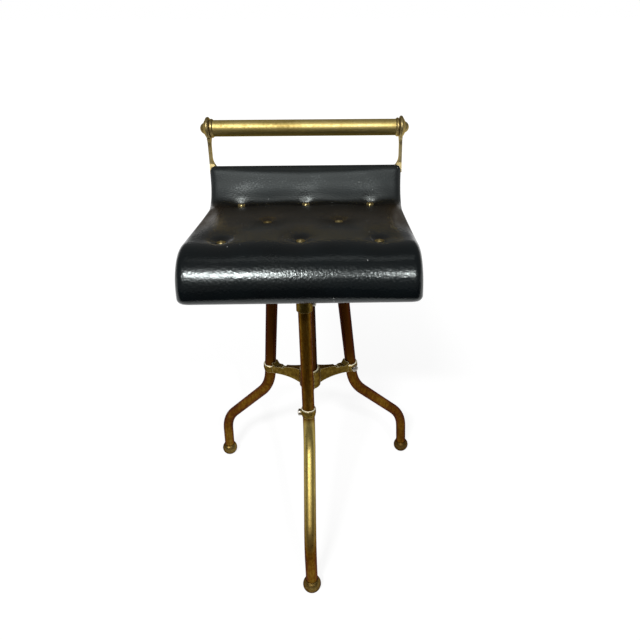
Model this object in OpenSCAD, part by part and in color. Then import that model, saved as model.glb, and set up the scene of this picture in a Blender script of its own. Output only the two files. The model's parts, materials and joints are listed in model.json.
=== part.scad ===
// Music stool: three double-bent brass legs held by a cast spider and a cast head,
// a centre column with a telescopic stem, and a swivelling S-shaped buttoned seat with a rail.
// Lengths are in millimetres, angles in degrees, +Z is up and the front leg points to -Y.

/* [Legs] */
// Outside diameter of the leg tube
leg_d = 21; // [18:0.5:23]
// Wall of the leg tube
leg_wall = 1.6; // [1:0.1:2.5]
// Distance from the column axis to a leg where it meets the floor
foot_circle_r = 231; // [210:1:250]
// Height of the spider's collars above the floor
collar_z = 299.5; // [285:0.5:310]
// Distance from the column axis to a leg at its collar
collar_r = 90.1; // [84:0.1:98]
// Lean of the upper leg towards the column
leg_lean = 6.25; // [4:0.25:8]
// Angle of the sloping middle stretch from the vertical
leg_sweep = 42; // [36:0.5:50]
// Outward splay of the lowest stretch
leg_splay = 4; // [1:0.5:6]
// Radius of the two bends, at the tube's centre line
bend_r = 101; // [80:1:110]
// Straight stretch of tube between a collar's middle and the first bend
bend_drop = 15.6; // [12.5:0.1:18]

/* [Feet] */
// Widest diameter of a foot
foot_d = 32.4; // [30:0.1:36]
// Radius of the bead where a foot meets the tube
foot_bead_r = 1.2; // [0.8:0.1:2]
// Floor of metal under the tube, inside a foot
foot_floor = 4; // [3:0.5:6]

/* [Spider] */
// Outside diameter of a collar and of a head socket
collar_d = 26; // [25.5:0.1:28]
// Length of a collar along the leg
collar_h = 15; // [14:0.5:20]
// Outside diameter of the hub
hub_d = 39; // [36:0.5:44]
// Height of the hub's top above the floor
hub_top = 327; // [320:1:335]
// Height of the hub
hub_h = 37; // [34:1:44]
// Thickness of an arm at its middle
arm_t = 8.5; // [7:0.5:11]
// Rise of the small web where an arm meets its collar
gusset_h = 7; // [4:0.5:10]

/* [Column and head] */
// Outside diameter of the column tube
column_d = 28.8; // [27:0.1:32]
// Wall of the column tube
column_wall = 1.9; // [1.5:0.1:2.2]
// Outside diameter of the head's boss
boss_d = 48; // [44:0.5:54]
// Height of the boss's lower end above the floor
head_bottom = 488; // [470:1:490]
// Height of the boss
head_h = 46; // [40:1:56]
// Depth that the column goes into the boss
column_seat = 22; // [16:0.5:26]
// Thickness of the plug in the column's lower end
plug_t = 8; // [4:0.5:12]
// Length of a leg socket in the head
socket_h = 36; // [30:0.5:40]
// Depth that a leg goes into its socket
socket_depth = 30; // [22:0.5:32]
// Rise of the sockets' mouths above the boss's lower end
socket_rise = 4; // [0:0.5:8]

/* [Lift and swivel] */
// Diameter of the stem
stem_d = 22; // [20:0.1:23]
// Height that the seat can be raised
lift = 120; // [80:1:130]
// Thickness of the flange on the stem's bush
bush_flange_t = 2; // [1.5:0.1:3]
// Length of the guide sleeve on the stem's lower end
guide_h = 40; // [30:1:50]
// Diameter of the swivel spigot on top of the stem
spigot_d = 16; // [12:0.5:18]
// Thickness of the stem's shoulder
shoulder_t = 5; // [4:0.5:8]
// Diameter of the stem's shoulder
shoulder_d = 36; // [34:0.5:44]
// Thickness of the swivel washer
washer_t = 1.5; // [1:0.1:3]
// Length of the swivel bearing in the seat plate's boss
bearing_h = 19; // [16:0.5:22]
// Diameter of the screw that keeps the seat on the spigot
retaining_screw_d = 8; // [6:0.5:9]
// Depth of that screw in the spigot
retaining_depth = 14; // [10:0.5:15]
// Thickness of the washer under that screw
retaining_t = 2; // [1.5:0.1:3]
// How far that washer stands out past the spigot
retaining_lip = 4; // [3:0.5:5]
// Diameter of the clamp screw
clamp_d = 8; // [6:0.5:10]
// Diameter of the clamp's knob
knob_d = 22; // [18:0.5:26]
// Length of the clamp's knob
knob_l = 11; // [8:0.5:14]
// Distance from the boss to the clamp's knob
knob_reach = 10; // [6:0.5:14]
// Number of flutes round the knob
knob_flutes = 12; // [8:1:14]

/* [Seat] */
// Width of the upholstered seat
seat_w = 340; // [320:1:350]
// Height of the seat's middle line above the floor, over the column
seat_z = 598.5; // [594:0.5:625]
// Fall of the seat towards the back
seat_fall = 6.6; // [3:0.1:9]
// Straight length in front of the column axis
seat_front_l = 101.5; // [90:0.5:110]
// Straight length behind the column axis
seat_back_l = 95.6; // [84:0.1:105]
// Radius of the front roll, at the middle line
front_roll_r = 45; // [38:0.5:52]
// Angle through which the front roll turns down
front_roll_a = 86; // [70:1:92]
// Radius of the bend up to the back, at the middle line
back_bend_r = 60; // [52:0.5:70]
// Angle through which the back turns up
back_bend_a = 76.6; // [66:0.1:80]
// Straight board beyond the front roll
front_tail = 8.5; // [2:0.5:12]
// Straight board above the back bend
back_tail = 17; // [10:0.5:24]
// Thickness of the bent board
board_t = 9; // [7:0.5:10]
// Thickness of leather and padding wrapped round the board's edge
wrap = 10; // [8:0.5:14]
// Padding above the middle line at the seat's edge
pad_up = 14; // [10:0.5:18]
// Board and padding below the middle line
pad_down = 13; // [12:0.5:16]
// Extra height of the padding at the seat's centre
crown = 3.5; // [0:0.5:8]
// How far the long edges draw in halfway along
side_draw = 1.5; // [0:0.25:3]
// Thickness of the lining under the board
lining_t = 1.2; // [0.8:0.1:2]

/* [Buttoning] */
// Spacing of the studs across the seat
stud_pitch = 112.4; // [96:0.1:118]
// Place of the back row along the seat, behind the column axis
back_row = 117.5; // [104:0.5:130]
// Place of the middle row
middle_row = 6.6; // [0:0.1:16]
// Place of the front row, in front of the column axis
front_row = 90; // [70:0.5:92]
// Diameter of a stud's flange
stud_d = 13; // [10:0.5:14]
// Diameter of a stud's dome
stud_dome_d = 7.4; // [6:0.1:9]
// Thickness of a stud's flange
stud_flange_t = 1; // [0.8:0.1:1.5]
// Depth of a tuft
tuft_depth = 6; // [3:0.5:6.5]

/* [Seat plate] */
// Diameter of the plate under the board
plate_d = 116; // [104:1:130]
// Thickness of the plate
plate_t = 6; // [5:0.5:8]
// Thickness of the plate's ribs
rib_t = 5; // [4:0.5:7]
// Depth of the ribs at the boss
rib_drop = 20; // [14:1:22]
// Outside diameter of the plate's boss
plate_boss_d = 40; // [36:0.5:46]

/* [Rail] */
// Outside diameter of the rail
rail_d = 27.7; // [25:0.1:30]
// Wall of the rail
rail_wall = 1.5; // [1.2:0.1:2.5]
// How much shorter the rail tube is than the seat is wide
rail_short = 19.2; // [12:0.1:28]
// Distance of the rail behind the column axis
rail_y = 196.2; // [190:0.1:206]
// Height of the rail's axis above the floor
rail_z = 709.6; // [704:0.1:726]
// Diameter of the rod through the rail
rod_d = 8; // [6:0.5:10]
// Width of the bead between the rail and an eye
bead_w = 6.3; // [4:0.1:8]
// Diameter of the bead
bead_d = 31.6; // [30.6:0.1:34]
// Length of the bead's spigot inside the rail
bead_spigot_l = 14; // [8:0.5:20]
// Outside diameter of a bracket's eye
eye_d = 38; // [35:0.5:42]
// Thickness of a bracket's eye
eye_t = 10.7; // [9:0.1:13]
// Diameter of a cap nut
cap_d = 18.4; // [16:0.1:20]
// Height of a cap nut's dome
cap_h = 6.6; // [5:0.1:9]
// Width of a bracket's stem, across the stool
strap_w = 5.5; // [5:0.1:9]
// How far a bracket's stem stands out past the seat's side
strap_out = 3; // [0:0.5:4]
// Depth of a bracket's stem
strap_d = 8; // [7:0.5:11]
// Width of a bracket's palm on the board
palm_w = 25; // [22:0.5:30]
// Thickness of a bracket's palm
palm_t = 4; // [3:0.5:5]
// Length of a bracket's palm
palm_l = 46; // [40:1:50]

/* [Screws] */
// Diameter of the set screws' heads
set_head_d = 12; // [9:0.5:13]
// Height of the set screws' domed heads
set_head_h = 5; // [4:0.5:6]
// Width of the slot in a set screw
set_slot_w = 1; // [0.8:0.1:1.6]
// Diameter of the set screws' shanks
set_d = 6; // [5:0.5:7]
// Diameter of the wood screws' shanks
wood_screw_d = 4.4; // [3.5:0.1:5]
// Bite of the wood screws in the board
wood_screw_bite = 7; // [5:0.5:8]

/* [Fits] */
// Radial clearance of a fit
fit = 0.05; // [0.02:0.01:0.08]
// Gap between parts that face each other
gap = 0.3; // [0.2:0.05:0.4]

/* [Hidden] */
$fn = 64;
eps = 0.01;
// A bend and the straight beside it lap this far, and one stands this step proud of the other
lap = 0.5;
step = 0.05;

// Azimuths of the legs: front, right and left
LEG_AZ = [-90, 30, 150];

// A foot is a ball on the leg's axis, cut flat by the floor, with a bead round the tube
foot_z = 0.4 * foot_d;
foot_r = foot_circle_r - foot_z * tan(leg_splay);
foot_neck_r = leg_d / 2 + 0.3;
foot_h = foot_z + sqrt(pow(foot_d / 2, 2) - pow(foot_neck_r, 2)) + 1.4 * foot_bead_r;

// The column stands so far back that the origin lies under the middle of the whole stool
column_y = (foot_r + foot_d / 2 - rail_y - eye_d / 2) / 2;

// Lengths of the leg's two free straight stretches, which close the path from collar to floor
bends_out = bend_r * (cos(leg_lean) + cos(leg_splay) - 2 * cos(leg_sweep));
bends_down = bend_r * (2 * sin(leg_sweep) - sin(leg_lean) - sin(leg_splay));
left_out = foot_circle_r - collar_r - bend_drop * sin(leg_lean) - bends_out;
left_down = collar_z - bend_drop * cos(leg_lean) - bends_down;
slope_l = (left_out * cos(leg_splay) - left_down * sin(leg_splay)) / sin(leg_sweep - leg_splay);
shin_l = (left_down * sin(leg_sweep) - left_out * cos(leg_sweep)) / sin(leg_sweep - leg_splay);

// Points of the leg's path, as distance from the column axis and height
function down_dir(a) = [sin(a), -cos(a)];
function side_dir(a) = [cos(a), sin(a)];
bend1_start = [collar_r, collar_z] + bend_drop * down_dir(leg_lean);
bend1_centre = bend1_start + bend_r * side_dir(leg_lean);
bend1_end = bend1_centre - bend_r * side_dir(leg_sweep);
bend2_start = bend1_end + slope_l * down_dir(leg_sweep);
bend2_centre = bend2_start - bend_r * side_dir(leg_sweep);
bend2_end = bend2_centre + bend_r * side_dir(leg_splay);
tube_end_l = shin_l - foot_floor / cos(leg_splay);

// Heights on the head, the column and the lift
head_top = head_bottom + head_h;
column_top = head_bottom + column_seat;
column_bottom = hub_top - hub_h + 2;
socket_start = (head_bottom + socket_rise - collar_z) / cos(leg_lean);
shoulder_z = head_top + bush_flange_t + gap;
thrust_z = shoulder_z + shoulder_t;
plate_boss_z = thrust_z + washer_t + 2 * fit;
bearing_top = plate_boss_z + bearing_h;
guide_top = column_top - lift - gap;
clamp_z = (column_top + head_top) / 2;
knob_start = boss_d / 2 + knob_reach;

// Seat profile: s runs backwards along the middle line from the column axis, n is normal to it
front_arc = front_roll_r * front_roll_a * PI / 180;
back_arc = back_bend_r * back_bend_a * PI / 180;
board_front = seat_front_l + front_arc + front_tail;
board_back = seat_back_l + back_arc + back_tail;
pad_front = board_front + wrap;
pad_back = board_back + wrap;
board_w = seat_w - 2 * wrap;
board_top_n = board_t - pad_down;
function deg(r) = r * 180 / PI;

// Heading of the middle line at s, measured up from the backward direction
function heading(s) = -seat_fall
    + (s > seat_back_l ? deg(min(s - seat_back_l, back_arc) / back_bend_r) : 0)
    + (s < -seat_front_l ? deg(min(-s - seat_front_l, front_arc) / front_roll_r) : 0);

// Middle line as [y, z] at s: straight part, then an arc, then a straight tail
function flat_at(s) = [s * cos(seat_fall), seat_z - s * sin(seat_fall)];
function turn(h) = [sin(h) + sin(seat_fall), cos(seat_fall) - cos(h)];
function tail_dir(h) = [cos(h), sin(h)];
function middle_line(s) = let (h = heading(s))
    s > seat_back_l ? flat_at(seat_back_l) + back_bend_r * turn(h)
        + max(0, s - seat_back_l - back_arc) * tail_dir(h)
    : s < -seat_front_l ? flat_at(-seat_front_l) - front_roll_r * turn(h)
        - max(0, -s - seat_front_l - front_arc) * tail_dir(h)
    : flat_at(s);
function seat_point(s, n) = middle_line(s) + n * [-sin(heading(s)), cos(heading(s))];

// Rows and columns of studs as [x, s]
STUDS = [
    for (i = [-1, 0, 1]) [i * stud_pitch, back_row],
    for (i = [-0.5, 0.5]) [i * stud_pitch, middle_row],
    for (i = [-1, 0, 1]) [i * stud_pitch, -front_row]
];

// Screws of the seat plate and of the brackets' palms
plate_screw_r = 0.4 * plate_d;
palm_x = seat_w / 2 - palm_w / 2;
palm_top = board_back + wrap / 2;
palm_screw_x = seat_w / 2 - wrap - 8;
PALM_SCREWS = [palm_top - 0.8 * palm_l, palm_top - 0.37 * palm_l];

// Bare border of the board in front of the lining and behind it
lining_front = 12;
lining_back = 8;

// Places along the rail, measured from the stool's middle plane
rail_l = seat_w - rail_short;
eye_in = rail_l / 2 + bead_w;
eye_out = eye_in + eye_t;

// Frames

// Places children on the column axis
module on_axis() {
    translate([0, column_y, 0]) children();
}

// Turns children from the radial plane of +X to that of leg i
module at_leg(i) {
    on_axis() rotate([0, 0, LEG_AZ[i]]) children();
}

// Frame of the upper leg: origin at the collar's middle, +Z up along the tube, +X outwards
module on_leg(i) {
    at_leg(i) translate([collar_r, 0, collar_z]) rotate([0, -leg_lean, 0]) children();
}

// Frame on the seat at place s: +Z along the seat's normal, +Y backwards along the seat
module on_seat(x, s, n) {
    p = seat_point(s, n);
    on_axis() translate([x, p[0], p[1]]) rotate([heading(s), 0, 0]) children();
}

// Turns a shape about Z so that it runs about the X axis instead
module about_x() {
    rotate([90, 0, 90]) children();
}

// Frame on the rail's axis, with +Z along the rail to the right
module on_rail() {
    on_axis() translate([0, rail_y, rail_z]) about_x() children();
}

// Legs and feet

// Straight stretch of round bar from a point of the radial plane, heading down at angle a
module bar(p, a, l, r) {
    translate([p[0], 0, p[1]]) rotate([0, 180 - a, 0]) cylinder(h = l, r = r);
}

// Bent stretch of round bar in the radial plane, from angle a0 through sweep da, with its laps
module bent_bar(c, a0, da, r) {
    lap_a = deg(lap / bend_r);
    translate([c[0], 0, c[1]]) rotate([90, 0, 0]) rotate([0, 0, a0 - lap_a])
        rotate_extrude(angle = da + 2 * lap_a) translate([bend_r, 0]) circle(r + step);
}

// The leg's path as a round bar of radius r, from the head to inside the foot, and past both ends
module leg_bar(r, past) {
    thigh_l = socket_start + socket_depth + bend_drop + past;
    bar([bend1_start[0] - thigh_l * sin(leg_lean), bend1_start[1] + thigh_l * cos(leg_lean)],
        leg_lean, thigh_l, r);
    bent_bar(bend1_centre, 180 + leg_lean, leg_sweep - leg_lean, r);
    bar(bend1_end, leg_sweep, slope_l, r);
    bent_bar(bend2_centre, leg_splay, leg_sweep - leg_splay, r);
    bar(bend2_end, leg_splay, tube_end_l + past, r);
}

module leg(i) {
    color("peru") at_leg(i) difference() {
        leg_bar(leg_d / 2, 0);
        leg_bar(leg_d / 2 - leg_wall, 1);
    }
}

// Half outline of a foot about the leg's axis: a ball with a bead at its mouth
module foot_outline() {
    bead_z = foot_h - foot_bead_r;
    translate([0, foot_z]) circle(foot_d / 2);
    translate([0, foot_z]) square([foot_neck_r, bead_z - foot_z]);
    translate([foot_neck_r, bead_z]) circle(foot_bead_r);
}

module foot(i) {
    bore_start = 2 * foot_h;
    color("goldenrod") at_leg(i) difference() {
        intersection() {
            translate([foot_circle_r, 0, 0]) rotate([0, -leg_splay, 0]) rotate_extrude()
                intersection() {
                    foot_outline();
                    translate([0, -foot_d]) square([foot_d, foot_d + foot_h]);
                }
            translate([foot_circle_r - foot_d, -foot_d, 0]) cube([2 * foot_d, 2 * foot_d, 2 * foot_h]);
        }
        bar([foot_circle_r - bore_start * tan(leg_splay), bore_start], leg_splay,
            (bore_start - foot_floor) / cos(leg_splay), leg_d / 2 + fit);
    }
}

// Spider, collars and set screws

// Half outline of a turned collar of length h with softened rims
module turned_outline(r, h, rim) {
    polygon([[0, 0], [r - rim, 0], [r, rim], [r, h - rim], [r - rim, h], [0, h]]);
}

// Half outline of a leg's collar: straight above, and drawn in towards the tube below
module collar_outline() {
    polygon([[0, 0], [collar_d / 2 - 1.6, 0], [collar_d / 2, 0.45 * collar_h],
        [collar_d / 2, collar_h - 1], [collar_d / 2 - 1, collar_h], [0, collar_h]]);
}

// Outline of an arm in the radial plane: level below, falling above, with a web at the collar
module spider_arm_outline() {
    low = collar_z - collar_h / 2;
    high = collar_z + collar_h / 2;
    tip = collar_r - leg_d / 2;
    difference() {
        polygon([[hub_d / 2 - 3, low], [tip, low], [tip, high + gusset_h],
            [tip - gusset_h, high], [hub_d / 2 - 3, hub_top - 4]]);
        translate([tip - collar_d / 2 - gusset_h, high + gusset_h + 1]) circle(gusset_h);
    }
}

// Outline of an arm from above: waisted, with flares at the hub and the collar
module arm_plan(r0, r1, t) {
    waist_r = 1.6 * (r1 - r0);
    difference() {
        translate([r0, -t]) square([r1 - r0, 2 * t]);
        for (side = [-1, 1])
            translate([(r0 + r1) / 2, side * (t / 2 + waist_r)]) circle(waist_r, $fn = 128);
    }
}

module spider_arm() {
    tip = collar_r - leg_d / 2;
    intersection() {
        rotate([90, 0, 0]) linear_extrude(height = hub_d, center = true) spider_arm_outline();
        linear_extrude(height = hub_top + 20) arm_plan(hub_d / 2 - 4, tip + 1, arm_t);
    }
}

// Pad and threaded hole for a set screw at height h up the leg, on side -1 or +1
module screw_pad(h, side) {
    translate([0, 0, h]) rotate([-90 * side, 0, 0])
        translate([0, 0, leg_d / 2 + 1]) cylinder(h = collar_d / 2 - leg_d / 2, d = set_head_d - 1);
}

module screw_hole(h, side) {
    translate([0, 0, h]) rotate([-90 * side, 0, 0]) cylinder(h = collar_d, r = set_d / 2 + fit);
}

// Round-headed set screw, with a slot, whose tip stops just clear of the tube
module set_screw(h, side) {
    head_z = collar_d / 2 + 1 + gap / 3;
    dome_r = 0.8 * set_head_d;
    slot_z = head_z + 0.7 * set_head_h;
    translate([0, 0, h]) rotate([-90 * side, 0, 0]) difference() {
        union() {
            translate([0, 0, leg_d / 2 + gap]) cylinder(h = head_z - leg_d / 2, d = set_d);
            intersection() {
                translate([0, 0, head_z]) cylinder(h = set_head_h, d = set_head_d);
                translate([0, 0, head_z + set_head_h - dome_r]) sphere(dome_r);
            }
        }
        rotate([0, 0, 35]) translate([-set_head_d, -set_slot_w / 2, slot_z])
            cube([2 * set_head_d, set_slot_w, set_head_h]);
    }
}

module leg_spider() {
    color("darkgoldenrod") difference() {
        union() {
            on_axis() translate([0, 0, hub_top - hub_h])
                rotate_extrude() turned_outline(hub_d / 2, hub_h, 1.5);
            for (i = [0:2]) {
                at_leg(i) spider_arm();
                on_leg(i) translate([0, 0, -collar_h / 2]) rotate_extrude() collar_outline();
                on_leg(i) screw_pad(0, -1);
            }
        }
        on_axis() translate([0, 0, hub_top - hub_h - 1])
            cylinder(h = hub_h + 2, r = column_d / 2 + fit);
        for (i = [0:2]) on_leg(i) {
            translate([0, 0, -collar_h]) cylinder(h = 2 * collar_h + gusset_h, r = leg_d / 2 + fit);
            screw_hole(0, -1);
        }
    }
}

module collar_screws() {
    color("silver") for (i = [0:2]) on_leg(i) set_screw(0, -1);
}

// Column and head

module column_tube() {
    color("saddlebrown") on_axis() translate([0, 0, column_bottom]) difference() {
        cylinder(h = column_top - column_bottom, d = column_d);
        translate([0, 0, -1])
            cylinder(h = column_top - column_bottom + 2, d = column_d - 2 * column_wall);
    }
}

module column_plug() {
    color("saddlebrown") on_axis() translate([0, 0, column_bottom])
        cylinder(h = plug_t, r = column_d / 2 - column_wall - fit);
}

// Height up the upper leg's axis of the screw in a head socket
socket_screw = socket_start + socket_h / 2 - 4;

// Outline of a head arm in the radial plane
module head_arm_outline() {
    tip = collar_r - (head_bottom + socket_rise + 4 - collar_z) * tan(leg_lean);
    polygon([[boss_d / 2 - 3, head_bottom + 3], [tip, head_bottom + socket_rise + 6],
        [tip - socket_h * tan(leg_lean), head_bottom + socket_rise + socket_h - 8],
        [boss_d / 2 - 3, head_top - 3]]);
}

module head_arm() {
    intersection() {
        rotate([90, 0, 0]) linear_extrude(height = boss_d, center = true) head_arm_outline();
        linear_extrude(height = head_top + 20) arm_plan(boss_d / 2 - 4, collar_r - 20, arm_t);
    }
}

module head_casting() {
    bore_r = column_d / 2 + fit;
    color("darkgoldenrod") difference() {
        union() {
            on_axis() translate([0, 0, head_bottom])
                rotate_extrude() turned_outline(boss_d / 2, head_h, 2);
            on_axis() translate([0, 0, clamp_z]) rotate([-90, 0, 0])
                cylinder(h = knob_start - 2, d = 2 * clamp_d);
            for (i = [0:2]) {
                at_leg(i) head_arm();
                on_leg(i) translate([0, 0, socket_start])
                    rotate_extrude() turned_outline(collar_d / 2, socket_h, 1.5);
                on_leg(i) screw_pad(socket_screw, 1);
            }
        }
        on_axis() translate([0, 0, head_bottom - 1]) cylinder(h = head_h + 2, r = bore_r);
        on_axis() translate([0, 0, clamp_z]) rotate([-90, 0, 0])
            cylinder(h = knob_start + 2, r = clamp_d / 2 + fit);
        for (i = [0:2]) on_leg(i) {
            translate([0, 0, socket_start - 1])
                cylinder(h = socket_depth + gap + 1, r = leg_d / 2 + fit);
            screw_hole(socket_screw, 1);
        }
    }
}

module head_screws() {
    color("silver") for (i = [0:2]) on_leg(i) set_screw(socket_screw, 1);
}

// Flanged bush that guides the stem in the head, above the column
module stem_bush() {
    color("tan") on_axis() difference() {
        union() {
            translate([0, 0, column_top + gap / 3])
                cylinder(h = head_top - column_top, r = column_d / 2);
            translate([0, 0, head_top + gap / 3])
                cylinder(h = bush_flange_t - gap / 3, d = shoulder_d);
        }
        cylinder(h = 2 * head_top, r = stem_d / 2 + fit);
        translate([0, 0, clamp_z]) rotate([-90, 0, 0])
            cylinder(h = boss_d, r = clamp_d / 2 + fit);
    }
}

// Clamp

module clamp_screw() {
    tip = stem_d / 2 + gap;
    color("silver") on_axis() translate([0, 0, clamp_z]) rotate([-90, 0, 0])
        translate([0, 0, tip]) cylinder(h = knob_start + knob_l / 2 - tip, d = clamp_d);
}

// Fluted knob with a domed end, fixed on the clamp screw
module clamp_knob() {
    dome_r = knob_d;
    flute_r = 0.09 * knob_d;
    color("goldenrod") on_axis() translate([0, 0, clamp_z]) rotate([-90, 0, 0])
        difference() {
            intersection() {
                translate([0, 0, knob_start]) cylinder(h = knob_l, d = knob_d);
                translate([0, 0, knob_start + knob_l - dome_r]) sphere(dome_r);
            }
            cylinder(h = knob_start + knob_l / 2 + gap, r = clamp_d / 2 + fit);
            for (k = [0:knob_flutes - 1]) rotate([0, 0, k * 360 / knob_flutes])
                translate([knob_d / 2 + 0.4 * flute_r, 0, knob_start - 1])
                    cylinder(h = knob_l + 2, r = flute_r, $fn = 24);
        }
}

// Stem and swivel

// Stem: sliding shaft, shoulder that carries the seat, and the swivel spigot
module stem() {
    color("silver") on_axis() difference() {
        union() {
            translate([0, 0, guide_top - guide_h])
                cylinder(h = shoulder_z - guide_top + guide_h + 1, d = stem_d);
            translate([0, 0, shoulder_z]) cylinder(h = shoulder_t, d = shoulder_d);
            translate([0, 0, thrust_z - 1])
                cylinder(h = bearing_top - thrust_z + 1 + gap, d = spigot_d);
        }
        translate([0, 0, bearing_top - retaining_depth - 2])
            cylinder(h = retaining_depth + 4, r = retaining_screw_d / 2 + fit);
    }
}

// Sleeve on the stem's lower end, which guides it in the column and stops it at the bush
module stem_guide() {
    color("tan") on_axis() translate([0, 0, guide_top - guide_h]) difference() {
        cylinder(h = guide_h, r = column_d / 2 - column_wall - fit);
        translate([0, 0, -1]) cylinder(h = guide_h + 2, r = stem_d / 2 + fit);
    }
}

module swivel_washer() {
    color("tan") on_axis() translate([0, 0, thrust_z + fit]) difference() {
        cylinder(h = washer_t, d = shoulder_d - 2);
        translate([0, 0, -1]) cylinder(h = washer_t + 2, r = spigot_d / 2 + fit);
    }
}

// Washer and screw that keep the seat plate on the spigot
retaining_d = spigot_d + 2 * retaining_lip;

module retaining_washer() {
    color("silver") on_axis() translate([0, 0, bearing_top + gap + fit]) difference() {
        cylinder(h = retaining_t, d = retaining_d);
        translate([0, 0, -1]) cylinder(h = retaining_t + 2, r = retaining_screw_d / 2 + fit);
    }
}

module retaining_screw() {
    head_z = bearing_top + gap + retaining_t + 2 * fit;
    head_h = 0.65 * retaining_screw_d;
    color("silver") on_axis() {
        translate([0, 0, bearing_top - retaining_depth])
            cylinder(h = head_z - bearing_top + retaining_depth + 1, d = retaining_screw_d);
        translate([0, 0, head_z]) cylinder(h = head_h, d = 1.75 * retaining_screw_d, $fn = 6);
    }
}

// Seat

// Sheet of width w, bent to the seat's profile, between normals n0 and n1 and places s0 and s1
module bent_sheet(n0, n1, w, s0, s1) {
    flat0 = max(s0, -seat_front_l);
    flat1 = min(s1, seat_back_l);
    roll0 = max(s0, -seat_front_l - front_arc);
    roll1 = min(s1, -seat_front_l);
    rise0 = max(s0, seat_back_l);
    rise1 = min(s1, seat_back_l + back_arc);
    if (flat1 > flat0) on_seat(0, 0, 0) flat_part(flat0, flat1, n0, n1, w);
    if (roll1 > roll0)
        bent_part(seat_point(-seat_front_l, -front_roll_r),
            90 + heading(roll1), deg((roll1 - roll0) / front_roll_r), front_roll_r + n0, n1 - n0, w);
    if (rise1 > rise0)
        bent_part(seat_point(seat_back_l, back_bend_r),
            270 + heading(rise0), deg((rise1 - rise0) / back_bend_r), back_bend_r - n1, n1 - n0, w);
    if (s0 < -seat_front_l - front_arc)
        on_seat(0, s0, 0) flat_part(lap, -seat_front_l - front_arc - s0, n0, n1, w);
    if (s1 > seat_back_l + back_arc)
        on_seat(0, s1, 0) flat_part(seat_back_l + back_arc - s1, -lap, n0, n1, w);
}

// Flat part of a bent sheet, which laps into the bends beside it
module flat_part(s0, s1, n0, n1, w) {
    translate([-w / 2 - step, s0 - lap, n0 - step])
        cube([w + 2 * step, s1 - s0 + 2 * lap, n1 - n0 + 2 * step]);
}

// Curved part of a bent sheet: centre c, first angle a0, sweep da, inner radius r, thickness t
module bent_part(c, a0, da, r, t, w) {
    on_axis() translate([0, c[0], c[1]]) about_x() rotate([0, 0, a0])
        rotate_extrude(angle = da) translate([r, -w / 2]) square([t, w]);
}

// Round-headed wood screw at x and s, from a face at normal n up into the board
module wood_screw(x, s, n) {
    head_h = 2.6;
    head_r = 0.95 * wood_screw_d;
    color("silver") on_seat(x, s, 0) {
        translate([0, 0, n - gap / 3 - head_h]) intersection() {
            cylinder(h = head_h, r = head_r);
            translate([0, 0, 1.6 * head_r]) sphere(1.6 * head_r);
        }
        translate([0, 0, n - 1]) cylinder(h = wood_screw_bite - pad_down - n + 1, d = wood_screw_d);
    }
}

// Hole for a wood screw, from below the given normal up past its tip
module wood_screw_hole(x, s, n) {
    on_seat(x, s, n - 1) cylinder(h = wood_screw_bite - pad_down - n + 1.5, r = wood_screw_d / 2 + fit);
}

// Places of the plate's four screws
plate_s = pad_down * tan(seat_fall);
PLATE_SCREWS = [for (k = [0:3])
    [plate_screw_r * cos(45 + 90 * k), plate_s + plate_screw_r * sin(45 + 90 * k)]];
plate_top_n = -pad_down - gap / 3;

// Cast plate: tilted flange with four ribs and an upright boss that turns on the spigot
module seat_plate() {
    color("darkgoldenrod") difference() {
        union() {
            on_seat(0, plate_s, plate_top_n - plate_t)
                rotate_extrude() turned_outline(plate_d / 2, plate_t, 1);
            on_axis() translate([0, 0, plate_boss_z])
                cylinder(h = seat_z - pad_down - plate_boss_z, d = plate_boss_d);
            for (k = [0:3]) on_seat(0, plate_s, plate_top_n - plate_t / 2) rotate([90, 0, 90 * k])
                linear_extrude(height = rib_t, center = true)
                    polygon([[plate_boss_d / 2 - 6, 0], [plate_d / 2 - 6, 0],
                        [plate_d / 2 - 6, -plate_t / 2 - 1], [plate_boss_d / 2 - 6, -rib_drop]]);
        }
        // What would stand above the flange
        on_seat(-plate_d, plate_s, plate_top_n) translate([0, -plate_d, 0])
            cube([2 * plate_d, 2 * plate_d, plate_d]);
        on_axis() translate([0, 0, plate_boss_z - 1])
            cylinder(h = bearing_h + 2, r = spigot_d / 2 + fit);
        on_axis() translate([0, 0, bearing_top])
            cylinder(h = seat_z - bearing_top, d = retaining_d + 2);
        for (p = PLATE_SCREWS) wood_screw_hole(p[0], p[1], plate_top_n - plate_t);
    }
}

module plate_screws() {
    for (p = PLATE_SCREWS) wood_screw(p[0], p[1], plate_top_n - plate_t);
}

// Laminated board bent to the seat's profile
module seat_board() {
    color("burlywood") difference() {
        bent_sheet(-pad_down, board_top_n, board_w, -board_front, board_back);
        for (p = PLATE_SCREWS) wood_screw_hole(p[0], p[1], -pad_down - 2);
        for (x = [-palm_screw_x, palm_screw_x], s = PALM_SCREWS) wood_screw_hole(x, s, -pad_down - 2);
    }
}

// Cloth under the board, open round the seat plate
module seat_lining() {
    lining_w = 2 * (seat_w / 2 - palm_w - 6);
    top_n = -pad_down - gap;
    color("black") difference() {
        bent_sheet(top_n - lining_t, top_n, lining_w, lining_front - board_front,
            board_back - lining_back);
        on_seat(0, plate_s, top_n - lining_t - 1) cylinder(h = lining_t + 2, d = plate_d + 8);
    }
}

// Padding: places from an edge of the rows and columns that shape the border and the recess
EDGE = [0, 0.35 * wrap, wrap - gap - 1, wrap - gap];
half_w = seat_w / 2;
tuft_r = 11;
edge_r = 14;
col_step = stud_pitch / 6;
side_cols = 7;
roll_rows = 8;
roll_step = (board_front + gap - front_row) / roll_rows;
COLS = concat([for (e = EDGE) e - half_w], [for (k = [-side_cols:side_cols]) k * col_step],
    [for (k = [3:-1:0]) half_w - EDGE[k]]);

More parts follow.
